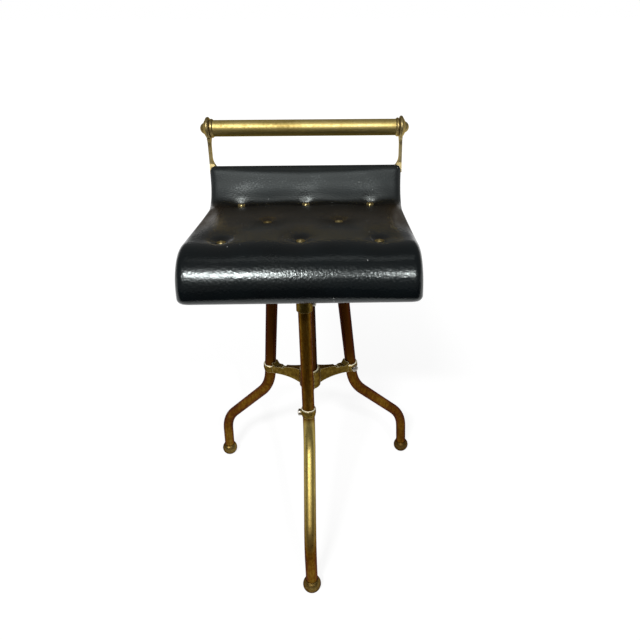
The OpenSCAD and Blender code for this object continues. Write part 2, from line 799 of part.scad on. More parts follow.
// Rows between two places, without the first one
function rows_between(a, b, n) = [for (k = [1:n]) a + (b - a) * k / n];
ROWS = concat([for (e = EDGE) e - pad_front],
    rows_between(-board_front - gap, -front_row, roll_rows), rows_between(-front_row, middle_row, 4),
    rows_between(middle_row, back_row, 5), rows_between(back_row, board_back + gap, 5),
    [for (k = [2:-1:0]) pad_back - EDGE[k]]);

function sum(v) = v * [for (x = v) 1];
function rounding(e, r) = e <= 0 ? 0 : e >= r ? 1 : sqrt(1 - pow(1 - e / r, 2));
function side_edge(x) = half_w - abs(x);
function end_edge(s) = min(s + pad_front, pad_back - s);
function along(s) = (s + pad_front) / (pad_front + pad_back);

// Tufts drawn in by the studs, as a sum of round bells
function tufts(x, s) = tuft_depth
    * sum([for (t = STUDS) exp(-(pow(x - t[0], 2) + pow(s - t[1], 2)) / pow(tuft_r, 2))]);

// Top of the padding: a pillow with rounded edges, a crown and the tufts
function pad_top_n(x, s) = pad_up * rounding(side_edge(x), edge_r) * rounding(end_edge(s), edge_r)
    + crown * (1 - pow(x / half_w, 2)) * (1 - pow(2 * along(s) - 1, 2)) - tufts(x, s);

// Underside: wrapped round the board's edge, with a recess that takes the board
function in_recess(x, s) = min(side_edge(x), end_edge(s)) > wrap - gap - 0.5;
function pad_under_n(x, s) = in_recess(x, s) ? board_top_n + gap + (s < -front_row ? roll_relief : 0)
    : -pad_down * rounding(side_edge(x), wrap - gap - 1) * rounding(end_edge(s), wrap - gap - 1);

// Relief that keeps the recess's flat facets out of the board's round front roll
roll_relief = (front_roll_r + board_top_n) * (1 / cos(deg(roll_step / front_roll_r) / 2) - 1);

// Outline in plan: round corners, and long edges that draw in halfway along
function corner(s) = end_edge(s) >= wrap ? 1
    : (half_w - wrap + sqrt(pow(wrap, 2) - pow(wrap - end_edge(s), 2))) / half_w;
function draw_share(x) = max(0, 1 - side_edge(x) / (wrap - gap - 1));
function plan_x(x, s) = corner(s) * (x - sign(x) * side_draw * draw_share(x) * sin(180 * along(s)));

// Point of the padding at x, s and normal n
function pad_point(x, s, n) = let (p = seat_point(s, n)) [plan_x(x, s), p[0] + column_y, p[1]];

// Padded seat as one closed mesh of top and underside, joined along their shared border
module seat_pad() {
    nr = len(ROWS);
    nc = len(COLS);
    top = [for (s = ROWS, x = COLS) pad_point(x, s, pad_top_n(x, s))];
    under = [for (i = [1:nr - 2], j = [1:nc - 2])
        pad_point(COLS[j], ROWS[i], pad_under_n(COLS[j], ROWS[i]))];
    function t(i, j) = i * nc + j;
    function u(i, j) = i == 0 || j == 0 || i == nr - 1 || j == nc - 1 ? t(i, j)
        : nr * nc + (i - 1) * (nc - 2) + j - 1;
    // Each quad is split along the diagonal that points at the seat's nearest corner
    function split(a, b, c, d, i, j) = (2 * i < nr - 1) == (2 * j < nc - 1)
        ? [[a, b, c], [a, c, d]] : [[a, b, d], [b, c, d]];
    top_faces = [for (i = [0:nr - 2], j = [0:nc - 2])
        each split(t(i, j), t(i + 1, j), t(i + 1, j + 1), t(i, j + 1), i, j)];
    under_faces = [for (i = [0:nr - 2], j = [0:nc - 2])
        each split(u(i, j), u(i, j + 1), u(i + 1, j + 1), u(i + 1, j), i, j)];
    color([0.05, 0.05, 0.06])
        polyhedron(points = concat(top, under), faces = concat(top_faces, under_faces));
}

// Distance from a row of studs to the next row of the padding, on side -1 or +1
function row_gap(s, side) = min([for (r = ROWS) if (side * (r - s) > eps) side * (r - s)]);

// Slope of the padding from one stud towards a point that lies a row or a column away
function slope_to(x, s, dx, ds) = let (
    n0 = pad_top_n(x, s), p = seat_point(s, n0),
    q = seat_point(s + ds, pad_top_n(x + dx, s + ds)), d = [dx, q[0] - p[0], q[1] - p[1]],
    rise = d * [0, -sin(heading(s)), cos(heading(s))]) rise / sqrt(d * d - rise * rise);
function steepest(x, s) = norm([slope_to(x, s, col_step, 0),
    max([for (side = [-1, 1]) slope_to(x, s, 0, side * row_gap(s, side))])]);

// Studs with a flat flange and a domed middle, each seated in its tuft on the flange's rim
module seat_studs() {
    dome_h = 0.36 * stud_dome_d;
    dome_r = (pow(stud_dome_d / 2, 2) + pow(dome_h, 2)) / (2 * dome_h);
    color("gold") for (t = STUDS)
        on_seat(t[0], t[1], pad_top_n(t[0], t[1]) + stud_d / 2 * steepest(t[0], t[1]) + gap) {
            cylinder(h = stud_flange_t, d = stud_d);
            intersection() {
                cylinder(h = stud_flange_t + dome_h, d = stud_dome_d);
                translate([0, 0, stud_flange_t + dome_h - dome_r]) sphere(dome_r);
            }
        }
}

// Rail and its brackets

// Outline of an eye about the rail's axis: a bell with a round crest that falls to the cap nut
module eye_outline() {
    crest_r = 3.2;
    crest = [eye_d / 2 - crest_r, crest_r + 0.2];
    rim = [cap_d / 2 + 0.4, eye_t];
    reach = norm(crest - rim);
    fall = atan2(crest[1] - rim[1], crest[0] - rim[0]) + asin(0.99 * crest_r / reach);
    polygon([[0, 0], [bead_d / 2 - 1, 0], [crest[0], 0.2], crest,
        rim + reach * cos(asin(crest_r / reach)) * [cos(fall), sin(fall)], rim, [0, eye_t]]);
    translate(crest) circle(crest_r);
}

// How a bracket's neck widens from its stem (0) to the eye (1), in steps
neck_l = 11;
neck_end = 0.78 * eye_d / 2;
neck_steps = 6;
function neck_at(k) = eye_d / 2 + neck_l - (eye_d / 2 + neck_l - neck_end) * k / neck_steps;
function swell(k) = pow(k / neck_steps, 2);
function ease(k) = swell(k) * (3 - 2 * k / neck_steps);

// Stem of a bracket seen from the side, from the palm up to the eye
module strap_side() {
    back_n = -pad_down - gap;
    foot = seat_point(palm_top - 8, back_n);
    heel = seat_point(palm_top - 8, back_n - palm_t);
    base = seat_point(palm_top + wrap, back_n - strap_d / 2);
    eye = [rail_y, rail_z];
    up = (eye - base) / norm(eye - base);
    fore = [-up[1], up[0]];
    function half(k) = strap_d / 2 + (0.62 * eye_d / 2 - strap_d / 2) * swell(k);
    polygon(concat([foot, base + fore * strap_d / 2],
        [for (k = [0:neck_steps]) eye - up * neck_at(k) + fore * half(k)],
        [for (k = [neck_steps:-1:0]) eye - up * neck_at(k) - fore * half(k)],
        [base - fore * strap_d / 2, heel]));
}

// The same stem seen from the front: flared foot, slim stem and a neck that bends out to the eye
module strap_front() {
    x1 = seat_w / 2 + strap_out;
    x0 = x1 - strap_w;
    foot_z = seat_point(palm_top, -pad_down)[1] - 2;
    flare_r = palm_w - strap_w;
    eye_x1 = eye_in + 0.55 * eye_t;
    polygon(concat(
        [[x1 - palm_w, foot_z - 10], [x1, foot_z - 10]],
        [for (k = [0:neck_steps]) [x1 + (eye_x1 - x1) * ease(k), rail_z - neck_at(k)]],
        [for (k = [neck_steps:-1:0]) [x0 + (eye_in + 0.3 - x0) * ease(k), rail_z - neck_at(k)]],
        [for (a = [0:15:90]) [x1 - palm_w + flare_r * cos(a), foot_z + flare_r * (1 - sin(a))]]));
}

// Right bracket: eye, stem and a palm that follows the back of the board
module bracket() {
    difference() {
        union() {
            on_rail() translate([0, 0, eye_in]) rotate_extrude() eye_outline();
            on_axis() intersection() {
                translate([seat_w / 2 - palm_w, 0, 0]) about_x()
                    linear_extrude(height = 2 * palm_w) strap_side();
                translate([0, rail_y + eye_d, 0]) rotate([90, 0, 0])
                    linear_extrude(height = 4 * eye_d) strap_front();
            }
            translate([palm_x, 0, 0]) bent_sheet(-pad_down - gap - palm_t, -pad_down - gap, palm_w,
                palm_top - palm_l, palm_top);
        }
        on_rail() cylinder(h = eye_out + 1, r = rod_d / 2 + fit);
        for (s = PALM_SCREWS) wood_screw_hole(palm_screw_x, s, -pad_down - gap - palm_t);
    }
}

module bracket_screws() {
    for (x = [-palm_screw_x, palm_screw_x], s = PALM_SCREWS)
        wood_screw(x, s, -pad_down - gap - palm_t);
}

module rail_tube() {
    color("goldenrod") on_rail() difference() {
        cylinder(h = rail_l, d = rail_d, center = true);
        cylinder(h = rail_l + 2, d = rail_d - 2 * rail_wall, center = true);
    }
}

module rail_rod() {
    color("silver") on_rail() cylinder(h = 2 * (eye_out + cap_h / 2), d = rod_d, center = true);
}

// Bead on the rail's end, with a spigot that centres the tube on the rod
module bead() {
    color("goldenrod") on_rail() translate([0, 0, rail_l / 2 + gap / 3]) difference() {
        union() {
            rotate_extrude() turned_outline(bead_d / 2, bead_w - 2 * gap / 3, 1.8);
            translate([0, 0, -bead_spigot_l])
                cylinder(h = bead_spigot_l + 1, r = rail_d / 2 - rail_wall - fit);
        }
        translate([0, 0, -bead_spigot_l - 1])
            cylinder(h = bead_spigot_l + bead_w + 2, r = rod_d / 2 + fit);
    }
}

// Domed nut on the rod's end
module cap_nut() {
    dome_r = (pow(cap_d / 2, 2) + pow(cap_h, 2)) / (2 * cap_h);
    color("goldenrod") on_rail() translate([0, 0, eye_out + gap / 3]) difference() {
        intersection() {
            cylinder(h = cap_h, d = cap_d);
            translate([0, 0, cap_h - dome_r]) sphere(dome_r);
        }
        translate([0, 0, -1]) cylinder(h = cap_h / 2 + 1.5, r = rod_d / 2 + fit);
    }
}

module left_side() {
    mirror([1, 0, 0]) children();
}

leg(0);  // front_leg
leg(1);  // right_leg
leg(2);  // left_leg
foot(0);  // front_foot
foot(1);  // right_foot
foot(2);  // left_foot
leg_spider();
collar_screws();
column_tube();
column_plug();
head_casting();
head_screws();
stem_bush();
clamp_screw();
clamp_knob();
stem();
stem_guide();
swivel_washer();
retaining_washer();
retaining_screw();
seat_plate();
plate_screws();
seat_board();
seat_pad();
seat_lining();
seat_studs();
color("goldenrod") left_side() bracket();  // left_bracket
color("goldenrod") bracket();  // right_bracket
bracket_screws();
rail_tube();
rail_rod();
left_side() bead();  // left_bead
bead();  // right_bead
left_side() cap_nut();  // left_cap_nut
cap_nut();  // right_cap_nut
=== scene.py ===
# %% [markdown]
# # Dressing a brass music stool
# The stool comes as a imported model: legs, castings, column, board and rail, each in its
# true place, in metres. This notebook gives every piece its finish and makes the soft and
# small pieces anew: the leather over its stuffing, the studs, the turned-under hem and the
# tacks below the board. We open the model first.

# %% Open the imported stool
import json
import math

import bpy
import numpy as np
from mathutils import Matrix


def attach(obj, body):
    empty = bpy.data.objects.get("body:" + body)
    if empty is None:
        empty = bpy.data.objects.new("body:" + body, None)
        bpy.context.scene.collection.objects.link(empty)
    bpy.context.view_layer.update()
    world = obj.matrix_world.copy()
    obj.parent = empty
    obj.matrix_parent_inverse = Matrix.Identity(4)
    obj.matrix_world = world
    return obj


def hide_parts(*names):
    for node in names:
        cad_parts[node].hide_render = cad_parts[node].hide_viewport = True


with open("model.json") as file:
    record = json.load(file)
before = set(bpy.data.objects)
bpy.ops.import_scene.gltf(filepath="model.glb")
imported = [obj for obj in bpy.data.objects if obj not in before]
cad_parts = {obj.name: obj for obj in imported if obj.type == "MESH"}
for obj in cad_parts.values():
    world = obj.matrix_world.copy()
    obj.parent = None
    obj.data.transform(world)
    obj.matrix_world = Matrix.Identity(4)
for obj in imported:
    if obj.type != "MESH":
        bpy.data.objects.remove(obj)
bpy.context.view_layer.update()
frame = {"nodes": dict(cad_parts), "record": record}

# %% [markdown]
# ## The camera
# The photograph looks down on the seat from chest height. A camera was solved from the
# stool's own straight lines and its three like legs: a focal length and a picture centre in
# pixels of a 640 pixel frame, a place, a downward pitch and a small turn. Blender's lens is
# the focal length times the sensor's width over the picture's width, and the shift moves the
# picture's centre.

# %% Camera
picture_px = 640
focal_px = 547.39
centre_px = (342.86, 329.50)
camera_place = (0.04441, -0.79456, 0.93981)
camera_pitch, camera_yaw, camera_roll = (math.radians(a) for a in (33.148, -1.237, -0.147))

camera = bpy.data.objects.new("camera", bpy.data.cameras.new("camera"))
bpy.context.scene.collection.objects.link(camera)
bpy.context.scene.camera = camera
camera.data.sensor_width = 36.0
camera.data.lens = focal_px / picture_px * camera.data.sensor_width
camera.data.shift_x = (picture_px / 2 - centre_px[0]) / picture_px
camera.data.shift_y = (centre_px[1] - picture_px / 2) / picture_px
camera.matrix_world = (
    Matrix.Translation(camera_place)
    @ Matrix.Rotation(camera_yaw, 4, "Z")
    @ Matrix.Rotation(math.pi / 2 - camera_pitch, 4, "X")
    @ Matrix.Rotation(camera_roll, 4, "Z")
)
print("lens", round(camera.data.lens, 2), "mm")

# %% [markdown]
# ## Node helpers
# Light and finishes are trees of nodes, and most of the nodes do sums. Four helpers keep the
# trees short: a sum of two values, a value carried from one range to another, a texture
# coordinate in its parts, and the share of white that a ray is shown. The view is the plain
# one, so that a colour renders about as it is written.

# %% Node helpers
scene = bpy.context.scene
scene.view_settings.view_transform = "Standard"


def sums(tree, operation, first, second):
    """One Math node; either input may be a socket or a number."""
    maths = tree.nodes.new("ShaderNodeMath")
    maths.operation = operation
    for socket, value in zip(maths.inputs, (first, second)):
        if isinstance(value, (int, float)):
            socket.default_value = value
        else:
            tree.links.new(value, socket)
    return maths.outputs[0]


def fade(tree, value, start, end, low, high):
    """The value's range from start to end, carried to the range from low to high."""
    node = tree.nodes.new("ShaderNodeMapRange")
    names = ("From Min", "From Max", "To Min", "To Max")
    for socket, number in zip(names, (start, end, low, high)):
        node.inputs[socket].default_value = number
    tree.links.new(value, node.inputs["Value"])
    return node.outputs["Result"]


def coordinates(tree, kind):
    """The x, y and z of a texture coordinate, and the coordinate itself."""
    where, axes = tree.nodes.new("ShaderNodeTexCoord"), tree.nodes.new("ShaderNodeSeparateXYZ")
    tree.links.new(where.outputs[kind], axes.inputs[0])
    return (*axes.outputs, where.outputs[kind])


def white_share(tree, on_sheet):
    """1 for eye rays, the sheet's own share for rays from gloss or through glass, 0 for light."""
    path = tree.nodes.new("ShaderNodeLightPath")
    mirrored = sums(tree, "MAXIMUM", path.outputs["Is Glossy Ray"],
                    path.outputs["Is Transmission Ray"])
    return sums(tree, "MAXIMUM", path.outputs["Is Camera Ray"],
                sums(tree, "MULTIPLY", mirrored, on_sheet))


print("view", scene.view_settings.view_transform)

# %% [markdown]
# ## Paper and room
# The picture's ground is plain white: a sheet of white paper that lies under the stool and
# rises behind it. In front of the sheet and overhead the room is dim, which is why black
# leather stays black between its highlights. Eye rays find white everywhere. Rays from gloss
# and through glass find it where the sheet is. The world is the dim room, and shows the
# sheet's far end low behind the stool.

# %% Room
room_light = 0.17
sheet_top, sheet_front = (0.0, 0.16), (-0.30, 0.05)
world = bpy.data.worlds.new("room")
world.use_nodes = True
scene.world = world
sky = world.node_tree
sky.nodes.clear()
_, ahead, above, _ = coordinates(sky, "Generated")
sheet_behind = sums(sky, "MULTIPLY", fade(sky, above, *sheet_top, 1, 0),
                    fade(sky, ahead, *sheet_front, 0, 1))
room, sky_out = sky.nodes.new("ShaderNodeBackground"), sky.nodes.new("ShaderNodeOutputWorld")
room.inputs["Color"].default_value = (1, 1, 1, 1)
sky.links.new(fade(sky, white_share(sky, sheet_behind), 0, 1, room_light, 1),
              room.inputs["Strength"])
sky.links.new(room.outputs[0], sky_out.inputs["Surface"])
print("room light", room_light)

# %% [markdown]
# ## Paper on the floor
# A real sheet of paper takes the stool's shadow and is lit evenly. The floor is matt paint for
# the shadow, mixed with a glow that grows whiter away from the stool. In front of the sheet's
# edge the paint is dark to everything but the eye, like a dark studio floor.

# %% Paper on the floor
floor_half = 14.0
dark_floor, white_paper = 0.035, 0.80
paper_front = (-0.60, -0.33)
paper_glow, glow_reach, glow_share = 1.10, (0.4, 2.0), (0.80, 1.0)
floor_mesh = bpy.data.meshes.new("floor")
floor_mesh.from_pydata(
    [(-floor_half, -floor_half, 0), (floor_half, -floor_half, 0),
     (floor_half, floor_half, 0), (-floor_half, floor_half, 0)], [], [(0, 1, 2, 3)])
floor = bpy.data.objects.new("floor", floor_mesh)
scene.collection.objects.link(floor)

paint = bpy.data.materials.new("floor_paint")
paint.use_nodes = True
coat = paint.node_tree
coat.nodes.clear()
matt, glow = coat.nodes.new("ShaderNodeBsdfDiffuse"), coat.nodes.new("ShaderNodeEmission")
both = coat.nodes.new("ShaderNodeMixShader")
paint_out = coat.nodes.new("ShaderNodeOutputMaterial")
reach = coat.nodes.new("ShaderNodeVectorMath")
reach.operation = "LENGTH"
_, back_along, _, spot = coordinates(coat, "Object")
coat.links.new(spot, reach.inputs[0])
sheet_below = fade(coat, back_along, *paper_front, 0, 1)
pale = sums(coat, "MAXIMUM", sheet_below, white_share(coat, sheet_below))
coat.links.new(fade(coat, pale, 0, 1, dark_floor, white_paper), matt.inputs["Color"])
glow.inputs["Strength"].default_value = paper_glow
coat.links.new(sums(coat, "MULTIPLY", white_share(coat, sheet_below),
                    fade(coat, reach.outputs["Value"], *glow_reach, *glow_share)),
               both.inputs[0])
coat.links.new(matt.outputs[0], both.inputs[1])
coat.links.new(glow.outputs[0], both.inputs[2])
coat.links.new(both.outputs[0], paint_out.inputs["Surface"])
floor_mesh.materials.append(paint)
print("floor", 2 * floor_half, "m wide")

# %% [markdown]
# ## Window light
# The long highlights on the seat's front roll and on the rail come from a wide window to the
# left of the viewer, with a faint one and a narrow bright pane to the right. Three area lamps
# stand for them, and a long one overhead gives the sheen on top of the rail and the roll. All
# of them stand far off, so that they light the whole stool alike.

# %% Lamps
lamp_distance, lamp_aim = 5.0, np.array([0.0, -0.10, 0.60])


def window(name, azimuth, elevation, width, height, power):
    """Area lamp that faces the seat from an azimuth (right of ahead) and an elevation."""
    lamp = bpy.data.lights.new(name, "AREA")
    lamp.shape, lamp.size, lamp.size_y, lamp.energy = "RECTANGLE", width, height, power
    a, e = math.radians(azimuth), math.radians(elevation)
    towards = np.array([math.sin(a) * math.cos(e), -math.cos(a) * math.cos(e), math.sin(e)])
    at = lamp_aim + lamp_distance * towards
    lamp_object = bpy.data.objects.new(name, lamp)
    scene.collection.objects.link(lamp_object)
    lamp_object.matrix_world = (
        Matrix.Translation(at) @ Matrix.Rotation(a, 4, "Z")
        @ Matrix.Rotation(math.pi / 2 - e, 4, "X"))
    print(name, "at", at.round(2))


window("left_window", -19.5, 43.5, 0.98, 0.26, 220)
window("right_window", 2.5, 40, 0.95, 0.26, 0.8)
window("bright_pane", 21.0, 40, 0.20, 0.26, 70)
window("skylight", 0, 90, 3.0, 0.5, 6)

# %% [markdown]
# ## Small helpers for materials
# Every finish is a tree of nodes round one Principled shader. Patterns read Object
# coordinates, which on this stool are the metres of the model itself, so a scale of 500
# gives grains of about two millimetres. Short helpers keep the trees short: one adds a
# noise that may be stretched along an axis, others mix values and turn them into colours.

# %% Material helpers
def finish(name, colour, **sockets):
    """New material with a Principled shader; returns the material, its tree and the shader."""
    material = bpy.data.materials.new(name)
    material.use_nodes = True
    tree = material.node_tree
    shader = tree.nodes["Principled BSDF"]
    shader.inputs["Base Color"].default_value = (*colour, 1)
    material.diffuse_color = (*colour, 1)
    for socket, value in sockets.items():
        shader.inputs[socket.replace("_", " ")].default_value = value
    return material, tree, shader


def place(tree, stretch=(1, 1, 1)):
    """Object coordinates, each axis multiplied by its stretch."""
    where, mapping = tree.nodes.new("ShaderNodeTexCoord"), tree.nodes.new("ShaderNodeMapping")
    mapping.inputs["Scale"].default_value = stretch
    tree.links.new(where.outputs["Object"], mapping.inputs["Vector"])
    return mapping.outputs["Vector"]


def noise(tree, where, scale, detail=4.0, roughness=0.55):
    """Smooth random value about 0.5 with a grain of 1 / scale metres."""
    texture = tree.nodes.new("ShaderNodeTexNoise")
    texture.inputs["Scale"].default_value = scale
    texture.inputs["Detail"].default_value = detail
    texture.inputs["Roughness"].default_value = roughness
    tree.links.new(where, texture.inputs["Vector"])
    return texture.outputs["Fac"]


def blend_of(tree, parts):
    """Weighted sum of values, given as (weight, socket) pairs."""
    total = sums(tree, "MULTIPLY", parts[0][1], parts[0][0])
    for weight, value in parts[1:]:
        total = sums(tree, "ADD", total, sums(tree, "MULTIPLY", value, weight))
    return total


def ramp(tree, value, stops):
    """Colour by a value, through (place, colour) stops."""
    band = tree.nodes.new("ShaderNodeValToRGB")
    elements = band.color_ramp.elements
    while len(elements) < len(stops):
        elements.new(0.5)
    for element, (at, colour) in zip(elements, stops):
        element.position = at
        element.color = (*colour, 1)
    tree.links.new(value, band.inputs["Fac"])
    return band.outputs["Color"]


def grey(level):
    """Neutral colour of one level."""
    return (level, level, level)


def mix_colour(tree, share, first, second):
    """Colour that goes from first to second with the share; second may be a plain colour."""
    mixer = tree.nodes.new("ShaderNodeMix")
    mixer.data_type = "RGBA"
    tree.links.new(share, mixer.inputs["Factor"])
    for socket, value in zip((mixer.inputs[6], mixer.inputs[7]), (first, second)):
        if isinstance(value, tuple):
            socket.default_value = (*value, 1)
        else:
            tree.links.new(value, socket)
    return mixer.outputs[2]


def relief(tree, shader, height, depth, strength=1.0):
    """Bump of the given depth in metres from a height value."""
    bump = tree.nodes.new("ShaderNodeBump")
    bump.inputs["Strength"].default_value = strength
    bump.inputs["Distance"].default_value = depth
    tree.links.new(height, bump.inputs["Height"])
    tree.links.new(bump.outputs["Normal"], shader.inputs["Normal"])


print("a noise of scale 500 has grains of", 1000 / 500, "mm")

# %% [markdown]
# ## Where brass wears, and where light and shade are painted
# Old brass is never one colour. Edges are rubbed bright, and edges and level tops also carry a
# painted highlight. The lower half of the front leg gets a painted highlight. The rail's under
# side and the upper halves of the back legs, under the seat, get painted shade. Each of these is
# a mask from 0 to 1, made from the direction of the surface or from its place on the stool.

# %% Masks for brass
def worn_and_highlit_edges(tree, width):
    """1 on edges, worn bright and given a painted highlight, 0 elsewhere: how far a rounded normal
    turns away from the true one.
    """
    rounded, true = tree.nodes.new("ShaderNodeBevel"), tree.nodes.new("ShaderNodeNewGeometry")
    rounded.samples, rounded.inputs["Radius"].default_value = 6, width
    agree = tree.nodes.new("ShaderNodeVectorMath")
    agree.operation = "DOT_PRODUCT"
    tree.links.new(rounded.outputs["Normal"], agree.inputs[0])
    tree.links.new(true.outputs["Normal"], agree.inputs[1])
    return ramp(tree, agree.outputs["Value"], [(0.80, grey(1)), (0.985, grey(0))])


def painted_top_highlight(tree):
    """Painted highlight: 1 on faces that look straight up, such as the turned ends of the collars
    and the hub.
    """
    return ramp(tree, coordinates(tree, "Normal")[2], [(0.972, grey(0)), (0.986, grey(1))])


def painted_shade_below(tree):
    """Painted shade: 1 on faces that look down, fading to 0 on those that look up."""
    return fade(tree, coordinates(tree, "Normal")[2], -0.75, 0.35, 1, 0)


def painted_front_leg_highlight(tree):
    """Painted highlight: 1 on the front leg below its collar, 0 higher, near the foot and on other
    legs.
    """
    _, y, z, _ = coordinates(tree, "Object")
    low, high = fade(tree, z, 0.10, 0.185, 0, 1), fade(tree, z, 0.28, 0.292, 1, 0)
    front = fade(tree, y, -0.09, -0.06, 1, 0)
    return sums(tree, "MULTIPLY", sums(tree, "MULTIPLY", low, high), front)


def painted_shade_under_seat(tree):
    """Painted shade: 1 on the upper half of the two back legs, under the seat, and 0 elsewhere."""
    _, y, z, _ = coordinates(tree, "Object")
    return sums(tree, "MULTIPLY", fade(tree, z, 0.26, 0.34, 0, 1), fade(tree, y, -0.02, 0.01, 0, 1))


print("masks for worn and for darkened brass")

# %% [markdown]
# ## Aged brass
# The tubes are brown-gold with a redder tarnish in places, fine lines left by drawing along
# their length, and small dark pits. Handling keeps the rail and the turned ends paler. One
# function makes all the brasses: it adds a broad patina, a fine mottle and lines stretched
# along the tube, colours the sum from shadow to shine, and sinks pits into it. A pit is the
# middle of a cell, kept only where a slow noise is high, so that pits come in patches.

# %% Brass finish
edge_width, brass_relief = 0.0012, 0.00025
pit_scale, pit_size = 190, 0.16


def aged_brass(name, shadow, body, shine, roughness, lines=(1, 1, 1), metal=0.9, pits=0.5,
               edge=None, zones=()):
    """Patinated brass; lines stretch the drawing marks, and a zone is a mask and its colour."""
    material, tree, shader = finish(name, body, Metallic=metal)
    shader.inputs["Specular Tint"].default_value = (*[min(1.0, 2.2 * c + 0.03) for c in body], 1)
    here = place(tree)
    broad = noise(tree, here, 14, 5)
    mottle = noise(tree, here, 150, 8, 0.65)
    drawn = noise(tree, place(tree, lines), 1.0, 3)
    patina = blend_of(tree, [(0.42, broad), (0.33, mottle), (0.25, drawn)])
    colour = ramp(tree, patina, [(0.36, shadow), (0.50, body), (0.64, shine)])
    cells = tree.nodes.new("ShaderNodeTexVoronoi")
    cells.inputs["Scale"].default_value = pit_scale
    tree.links.new(here, cells.inputs["Vector"])
    near = sums(tree, "LESS_THAN", cells.outputs["Distance"], pit_size)
    sparse = sums(tree, "GREATER_THAN", noise(tree, here, 45, 2), 0.66 - 0.08 * pits)
    pit = sums(tree, "MULTIPLY", near, sparse)
    dark = tuple(0.35 * c for c in shadow)
    # A zone paints its colour where its mask is 1; the zones used are painted highlight and painted
    # shade.
    for mask, mask_colour in zones:
        share = sums(tree, "MULTIPLY", mask(tree), fade(tree, patina, 0.30, 0.50, 0.55, 1))
        colour = mix_colour(tree, share, colour, mask_colour)
    # Edges take the edge colour as worn brass and as a painted highlight; level tops as a painted
    # highlight.
    if edge:
        edge_wear_and_highlight = sums(tree, "MAXIMUM", worn_and_highlit_edges(tree, edge_width), painted_top_highlight(tree))
        colour = mix_colour(tree, edge_wear_and_highlight, colour, edge)
    tree.links.new(mix_colour(tree, pit, colour, dark), shader.inputs["Base Color"])
    worn = ramp(tree, blend_of(tree, [(0.6, mottle), (0.4, broad)]),
                [(0.35, grey(roughness + 0.12)), (0.65, grey(roughness - 0.07))])
    tree.links.new(worn, shader.inputs["Roughness"])
    height = sums(tree, "SUBTRACT", blend_of(tree, [(0.5, mottle), (0.5, drawn)]), pit)
    relief(tree, shader, height, brass_relief, 0.35)
    return material


print("pits lie", round(1000 / pit_scale, 1), "mm apart in their patches")

# %% [markdown]
# ## Colours of the brasses
# Each piece has a shadow, a body and a shine colour, its own roughness and the direction of its
# lines. The tubes of the legs and the column are browner and smoother, the castings duller with
# bright edges, worn and with a painted highlight, and the rail and its ends palest, from hands.

# %% The brasses
upright_lines, rail_lines, round_lines = (420, 420, 16), (14, 420, 420), (200, 200, 500)
brasses = {
    "leg_brass": aged_brass("leg_brass", (0.055, 0.018, 0.001), (0.120, 0.055, 0.005),
                            (0.20, 0.12, 0.022), 0.36, upright_lines,
                            # the pale gold zone on the lower front leg is a painted highlight
                            zones=((painted_front_leg_highlight, (0.40, 0.31, 0.095)),
                                   # the dark zone high on the back legs is painted shade from the
                                   # seat
                                   (painted_shade_under_seat, (0.050, 0.015, 0.001)))),
    "foot_brass": aged_brass("foot_brass", (0.045, 0.022, 0.005), (0.10, 0.060, 0.015),
                             (0.22, 0.16, 0.05), 0.40, round_lines, pits=1.0),
    # the castings' edge colour is worn brass and a painted highlight on edges and level tops
    "cast_brass": aged_brass("cast_brass", (0.060, 0.033, 0.006), (0.14, 0.09, 0.016),
                             (0.25, 0.18, 0.050), 0.42, (160, 160, 160), edge=(0.75, 0.66, 0.40)),
    "column_brass": aged_brass("column_brass", (0.028, 0.009, 0.001), (0.048, 0.018, 0.002),
                               (0.08, 0.036, 0.005), 0.40, upright_lines),
    # pale cream, mostly not metal: a painted highlight on the rims of the collars and the hub
    "rim_brass": aged_brass("rim_brass", (0.55, 0.50, 0.34), (0.78, 0.72, 0.52),
                            (0.90, 0.86, 0.68), 0.40, metal=0.25, pits=0.0),
    "bush_brass": aged_brass("bush_brass", (0.16, 0.10, 0.03), (0.30, 0.21, 0.07),
                             (0.42, 0.32, 0.13), 0.30, round_lines, pits=0.0),
    "trim_brass": aged_brass("trim_brass", (0.15, 0.10, 0.035), (0.33, 0.25, 0.10),
                             (0.52, 0.43, 0.21), 0.40, (420, 60, 60), pits=0.2),
    "bracket_brass": aged_brass("bracket_brass", (0.14, 0.10, 0.04), (0.32, 0.25, 0.11),
                                (0.50, 0.42, 0.22), 0.40, (60, 420, 20), pits=0.2),
    "rail_brass": aged_brass("rail_brass", (0.26, 0.19, 0.055), (0.46, 0.36, 0.13),
                             (0.58, 0.48, 0.21), 0.47, rail_lines, pits=0.1,
                             # the dark brown on the rail's under side is painted shade
                             zones=((painted_shade_below, (0.040, 0.024, 0.003)),)),
    "stud_brass": aged_brass("stud_brass", (0.16, 0.11, 0.04), (0.34, 0.27, 0.12),
                             (0.70, 0.60, 0.34), 0.30, (400, 400, 400), pits=0.0),
}
print(len(brasses), "brasses")

# %% [markdown]
# ## Steel, iron, wood, cloth and fibre
# The set screws are dull nickelled steel, scuffed by the screwdriver. The stem is bright
# turned steel with fine rings. Under the seat are a black cast plate with a sandy skin, a
# bent board of stained wood whose grain runs across the seat, and a black dust cloth with a
# plain weave. The swivel turns on a washer of red-brown fibre.

# %% Other hard finishes
def steel(name, colour, roughness, lines):
    """Turned or nickelled steel with fine marks and dull patches."""
    material, tree, shader = finish(name, colour, Metallic=1.0)
    marks = noise(tree, place(tree, lines), 1.0, 5)
    dull = noise(tree, place(tree), 260, 6)
    tint = ramp(tree, dull, [(0.3, tuple(0.78 * c for c in colour)), (0.6, colour)])
    tree.links.new(tint, shader.inputs["Base Color"])
    tree.links.new(ramp(tree, dull, [(0.3, grey(roughness + 0.2)), (0.7, grey(roughness))]),
                   shader.inputs["Roughness"])
    relief(tree, shader, blend_of(tree, [(0.6, marks), (0.4, dull)]), 0.0002, 0.3)
    return material


